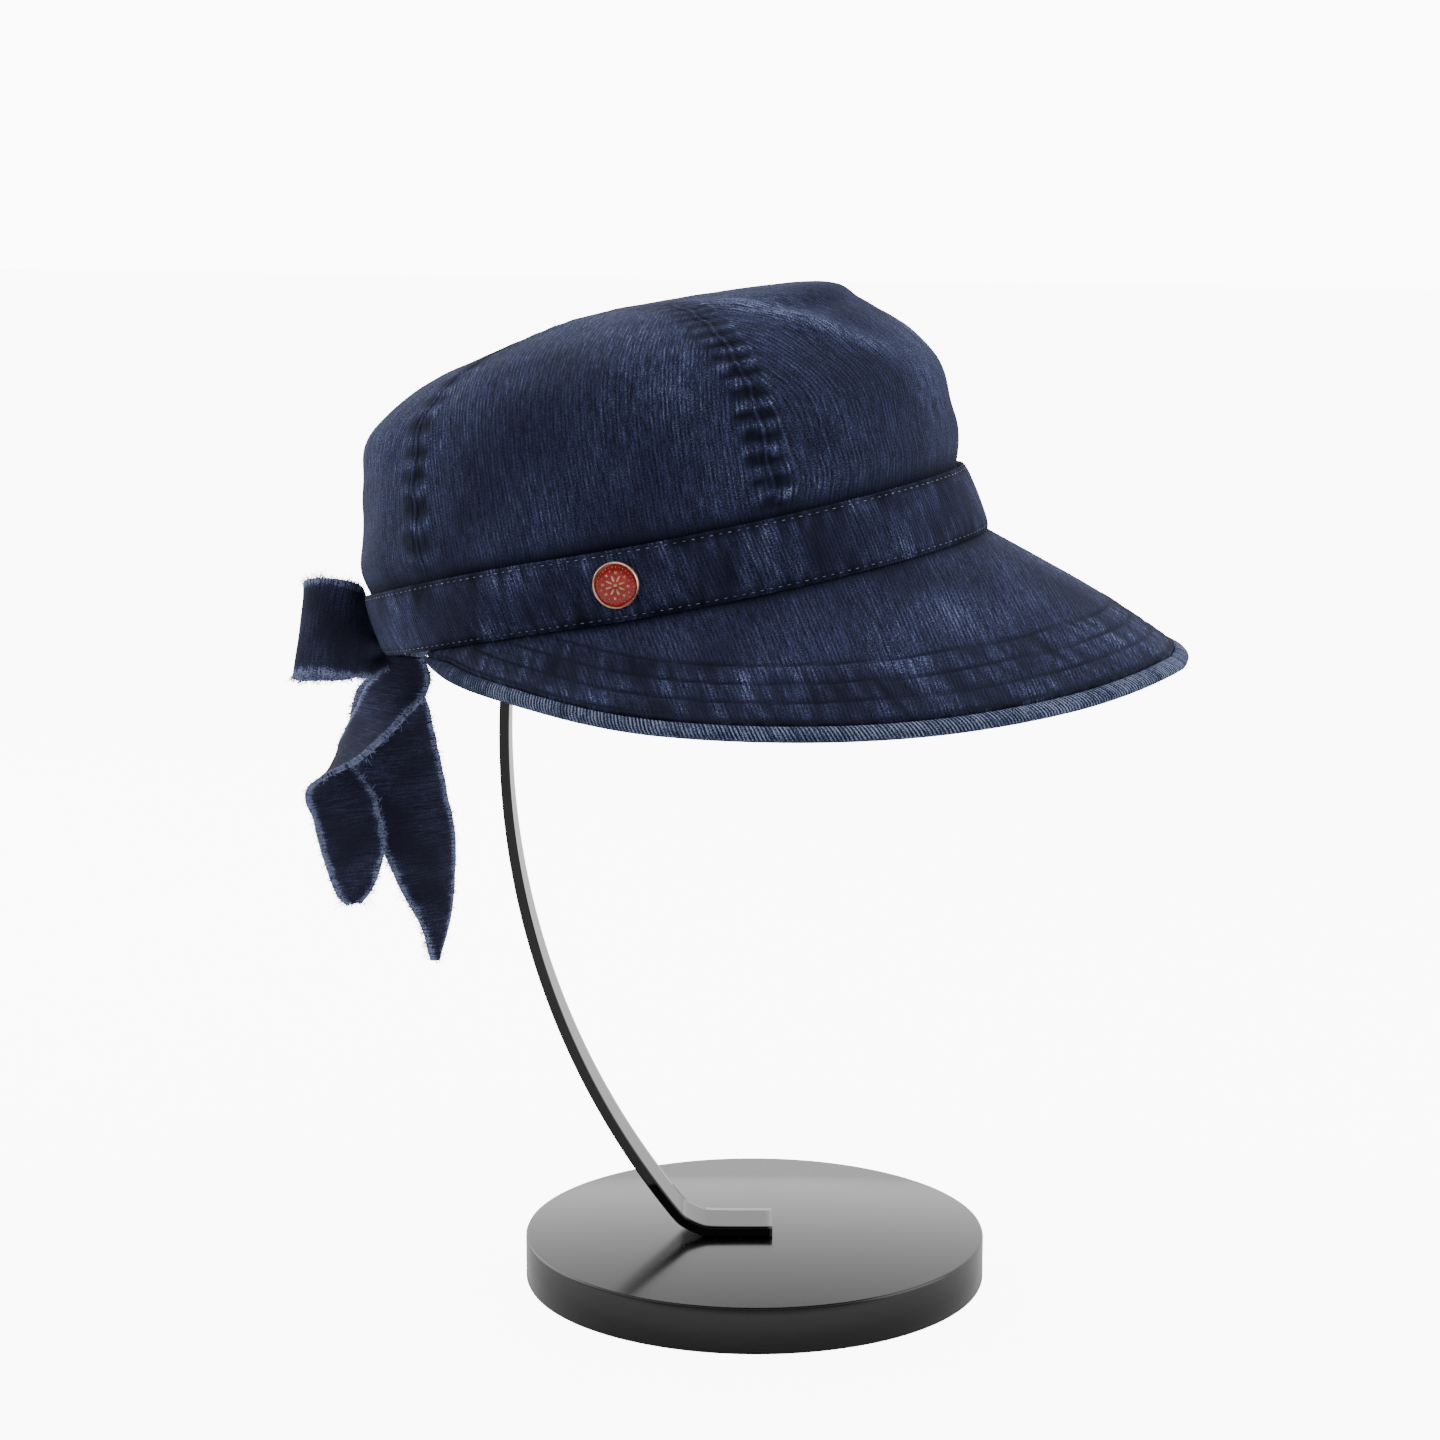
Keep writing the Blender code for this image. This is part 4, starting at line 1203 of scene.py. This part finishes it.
def denim_weave():
    """Threads of washed denim on the cloth map: how faded each place is, with the rubbing and the
    painted light and shade given to each vertex, and its height.
    """
    group = bpy.data.node_groups.new("denim_weave", "ShaderNodeTree")
    for name, value in zip(WEAVE_INPUTS, CAP_WEAVE):
        socket = group.interface.new_socket(name, in_out="INPUT", socket_type="NodeSocketFloat")
        socket.default_value = value
    group.interface.new_socket("Fade", in_out="OUTPUT", socket_type="NodeSocketFloat")
    group.interface.new_socket("Height", in_out="OUTPUT", socket_type="NodeSocketFloat")
    given = group.nodes.new("NodeGroupInput").outputs
    cloth = node(group, "ShaderNodeUVMap", uv_map="cloth").outputs["UV"]
    worn_and_painted_light = node(group, "ShaderNodeAttribute", attribute_name="wear_and_painted_light").outputs["Fac"]
    across = node(group, "ShaderNodeSeparateXYZ", {0: cloth}).outputs["X"]
    wander = stretched_noise(group, cloth, WANDER_SCALE, 1.0)
    moved = sums(group, "MULTIPLY_ADD", wander, 0.0010, across)
    phase = sums(group, "DIVIDE", moved, given["Rib Pitch"])
    turn = sums(group, "MULTIPLY", phase, 2 * math.pi)
    rib = sums(group, "MULTIPLY_ADD", sums(group, "SINE", turn), 0.5, 0.5)
    slub = stretched_noise(group, cloth, SLUB_SCALE, 1.0)
    fine = stretched_noise(group, cloth, FINE_SCALE, 1.0)
    speck = stretched_noise(group, cloth, SPECK_SCALE, 0.0)
    patch = stretched_noise(group, cloth, PATCH_SCALE, 3.0)
    ribbed = sums(group, "MULTIPLY", sums(group, "SUBTRACT", rib, 0.5), given["Rib Share"])
    ribbed = sums(group, "MULTIPLY", ribbed, sums(group, "MULTIPLY_ADD", patch, 2.4, -0.2))
    threads = sums(group, "MULTIPLY_ADD", slub, 0.60, ribbed)
    threads = sums(group, "MULTIPLY_ADD", fine, 0.75, threads)
    threads = sums(group, "MULTIPLY_ADD", speck, 1.05, threads)
    centred = sums(group, "SUBTRACT", threads, 1.20)
    lively = sums(group, "MULTIPLY", centred, given["Contrast"])
    # Each vertex's rubbing and painted light and shade shift the fade here.
    tone_shift = sums(group, "MULTIPLY", worn_and_painted_light, given["Wear And Painted Light Gain"])
    streaky = sums(group, "MAXIMUM", sums(group, "MULTIPLY_ADD", centred, 3.2, 0.85), 0.0)
    tone_shift = sums(group, "MULTIPLY", tone_shift, streaky)
    washed = sums(group, "MULTIPLY_ADD", patch, 0.36, -0.18)
    total = sums(group, "ADD", sums(group, "ADD", lively, tone_shift), washed)
    fade = sums(group, "ADD", total, given["Base Fade"], clamp=True)
    height = sums(group, "MULTIPLY_ADD", ribbed, 1.4, sums(group, "MULTIPLY", speck, 0.45))
    height = sums(group, "MULTIPLY_ADD", slub, 0.55, height)
    node(group, "NodeGroupOutput", {"Fade": fade, "Height": height})
    return group


def new_finish(name, constants):
    """An empty material and its shader, with the values that are the same all over."""
    made = bpy.data.materials.new(name)
    made.use_nodes = True
    tree = made.node_tree
    shader = tree.nodes["Principled BSDF"]
    for key, value in constants.items():
        shader.inputs[key].default_value = value
    return made, tree, shader


def denim_finish(name, weave, stops, values, depth):
    made, tree, shader = new_finish(name, {
        "Roughness": 0.9,
        "Specular IOR Level": 0.1,
        "Sheen Weight": 0.06,
        "Sheen Roughness": 0.45,
        "Sheen Tint": screen(SHEEN_TINT),
    })
    threads = node(tree, "ShaderNodeGroup", dict(zip(WEAVE_INPUTS, values)), node_tree=weave)
    colour = ramp(tree, threads.outputs["Fade"], stops)
    tree.links.new(colour, shader.inputs["Base Color"])
    bump = node(tree, "ShaderNodeBump", {"Height": threads.outputs["Height"], "Distance": depth})
    tree.links.new(bump.outputs["Normal"], shader.inputs["Normal"])
    return made


def mottle(tree, shader, scale, detail, dark, light, light_at=0.65):
    """Colours a shader from dark to light by noise on the piece, and returns the noise."""
    spot = node(tree, "ShaderNodeTexCoord").outputs["Object"]
    change = stretched_noise(tree, spot, (scale, scale, scale), detail)
    colour = ramp(tree, change, ((0.35, dark), (light_at, light)))
    tree.links.new(colour, shader.inputs["Base Color"])
    return change


def thread_finish(name, dark, light):
    made, tree, shader = new_finish(name, {"Roughness": 0.85, "Specular IOR Level": 0.1})
    mottle(tree, shader, 420.0, 2.0, dark, light)
    return made


def gold_finish(name, dark, light):
    made, tree, shader = new_finish(name, {"Roughness": 0.32, "Metallic": 1.0})
    change = mottle(tree, shader, 900.0, 2.0, dark, light)
    tree.links.new(sums(tree, "MULTIPLY_ADD", change, 0.25, 0.22), shader.inputs["Roughness"])
    return made


def enamel_finish():
    made, tree, shader = new_finish("red_enamel_glass", {"Roughness": 0.22})
    mottle(tree, shader, 700.0, 2.0, (132, 3, 3), (176, 12, 8), 0.68)
    return made


def gloss_finish(name, least_rough, shine):
    made, tree, shader = new_finish(
        name, {"Roughness": least_rough, "Specular IOR Level": shine}
    )
    smudge = mottle(tree, shader, 55.0, 4.0, (5, 5, 6), (10, 10, 12))
    rough = sums(tree, "MULTIPLY_ADD", smudge, 0.05, least_rough)
    tree.links.new(rough, shader.inputs["Roughness"])
    return made


# Camera, light and floor


def make_studio():
    floor_finish, tree, shader = new_finish("studio_floor", {
        "Roughness": 0.9,
        "Specular IOR Level": 0.0,
        "Base Color": (0.93, 0.93, 0.93, 1),
        "Emission Color": (1, 1, 1, 1),
    })
    seen = node(tree, "ShaderNodeLightPath").outputs["Is Camera Ray"]
    tree.links.new(sums(tree, "MULTIPLY", seen, BACKDROP_GLOW), shader.inputs["Emission Strength"])
    sheet = bmesh.new()
    bmesh.ops.create_grid(sheet, x_segments=1, y_segments=1, size=FLOOR_SIZE)
    data = mesh_of(sheet, "floor")
    data.materials.append(floor_finish)
    floor = put_in_scene("floor", data)
    world = bpy.data.worlds.new("studio")
    world.use_nodes = True
    tree = world.node_tree
    sky = tree.nodes["Background"]
    sky.inputs["Color"].default_value = (1, 1, 1, 1)
    heading = node(tree, "ShaderNodeTexCoord").outputs["Generated"]
    toward = {0: heading, 1: SKY_BRIGHT_SIDE}
    behind = node(tree, "ShaderNodeVectorMath", toward, operation="DOT_PRODUCT")
    glow = sums(tree, "MULTIPLY_ADD", behind.outputs["Value"], SKY_SWING, SKY_MIDDLE)
    glow = sums(tree, "MAXIMUM", glow, SKY_LEAST)
    seen = node(tree, "ShaderNodeLightPath").outputs["Is Camera Ray"]
    tree.links.new(sums(tree, "MULTIPLY_ADD", seen, BACKDROP_GLOW, glow), sky.inputs["Strength"])
    bpy.context.scene.world = world
    for name, place, size, power in LAMPS:
        lamp(name, place, size, power)


def lamp(name, place, size, power):
    """A square soft light that points at the cap."""
    light = bpy.data.lights.new(name, "AREA")
    light.size = size
    light.energy = power
    holder = put_in_scene(name, light)
    holder.location = place
    to_cap = Vector(LAMP_TARGET) - Vector(place)
    holder.rotation_mode = "QUATERNION"
    holder.rotation_quaternion = to_cap.to_track_quat("-Z", "Y")


def make_camera():
    lens = bpy.data.cameras.new("camera")
    lens.lens = CAMERA_LENS
    lens.sensor_width = CAMERA_SENSOR
    camera = put_in_scene("camera", lens)
    camera.location = CAMERA_PLACE
    camera.rotation_euler = (CAMERA_PITCH, 0, STAND_TURN)
    bpy.context.scene.camera = camera


def make_cap():
    weave = denim_weave()
    denim = denim_finish("washed_denim", weave, DENIM_STOPS, CAP_WEAVE, CAP_RELIEF)
    bow_denim = denim_finish("bow_denim", weave, BOW_STOPS, BOW_WEAVE, BOW_RELIEF)
    edge_denim = denim_finish("lip_denim", weave, LIP_STOPS, LIP_WEAVE, LIP_RELIEF)
    pale_thread = thread_finish("pale_thread", (92, 98, 120), (144, 150, 166))
    dark_thread = thread_finish("dark_thread", (14, 15, 26), (30, 33, 50))
    fray_thread = thread_finish("frayed_thread", (74, 84, 124), (160, 170, 204))
    make_crown(denim)
    make_band(denim)
    make_peak(denim)
    make_lip(edge_denim)
    make_band_stitches(pale_thread)
    make_peak_stitches(dark_thread)
    make_knot(bow_denim)
    for name, node_name, side, seed in (
        ("near_loop", "bow_loop_near", -1, 41),
        ("far_loop", "bow_loop_far", 1, 42),
    ):
        make_ribbon(
            name, node_name,
            lambda across, along, side=side: on_stand(loop_points(side, across, along)),
            bow_denim, fray_thread, "gathered", seed,
        )
    for name, node_name, table, length, seed in (
        ("near_tail", "bow_tail_near", NEAR_TAIL_TABLE, NEAR_TAIL_LENGTH, 43),
        ("far_tail", "bow_tail_far", FAR_TAIL_TABLE, FAR_TAIL_LENGTH, 44),
    ):
        make_ribbon(
            name, node_name,
            lambda across, along, table=table, length=length: tail_points(table, length, across, along),
            bow_denim, fray_thread, "hung", seed,
        )
    pale_gold = gold_finish("pale_gold_satin", (226, 176, 148), (250, 220, 196))
    rose_gold = gold_finish("rose_gold_satin", (206, 140, 104), (238, 186, 148))
    make_badge(pale_gold, rose_gold, enamel_finish())


make_camera()
make_studio()
make_cap()
make_stand(gloss_finish("black_base_gloss", 0.16, 0.52), gloss_finish("black_strip_gloss", 0.03, 0.34))
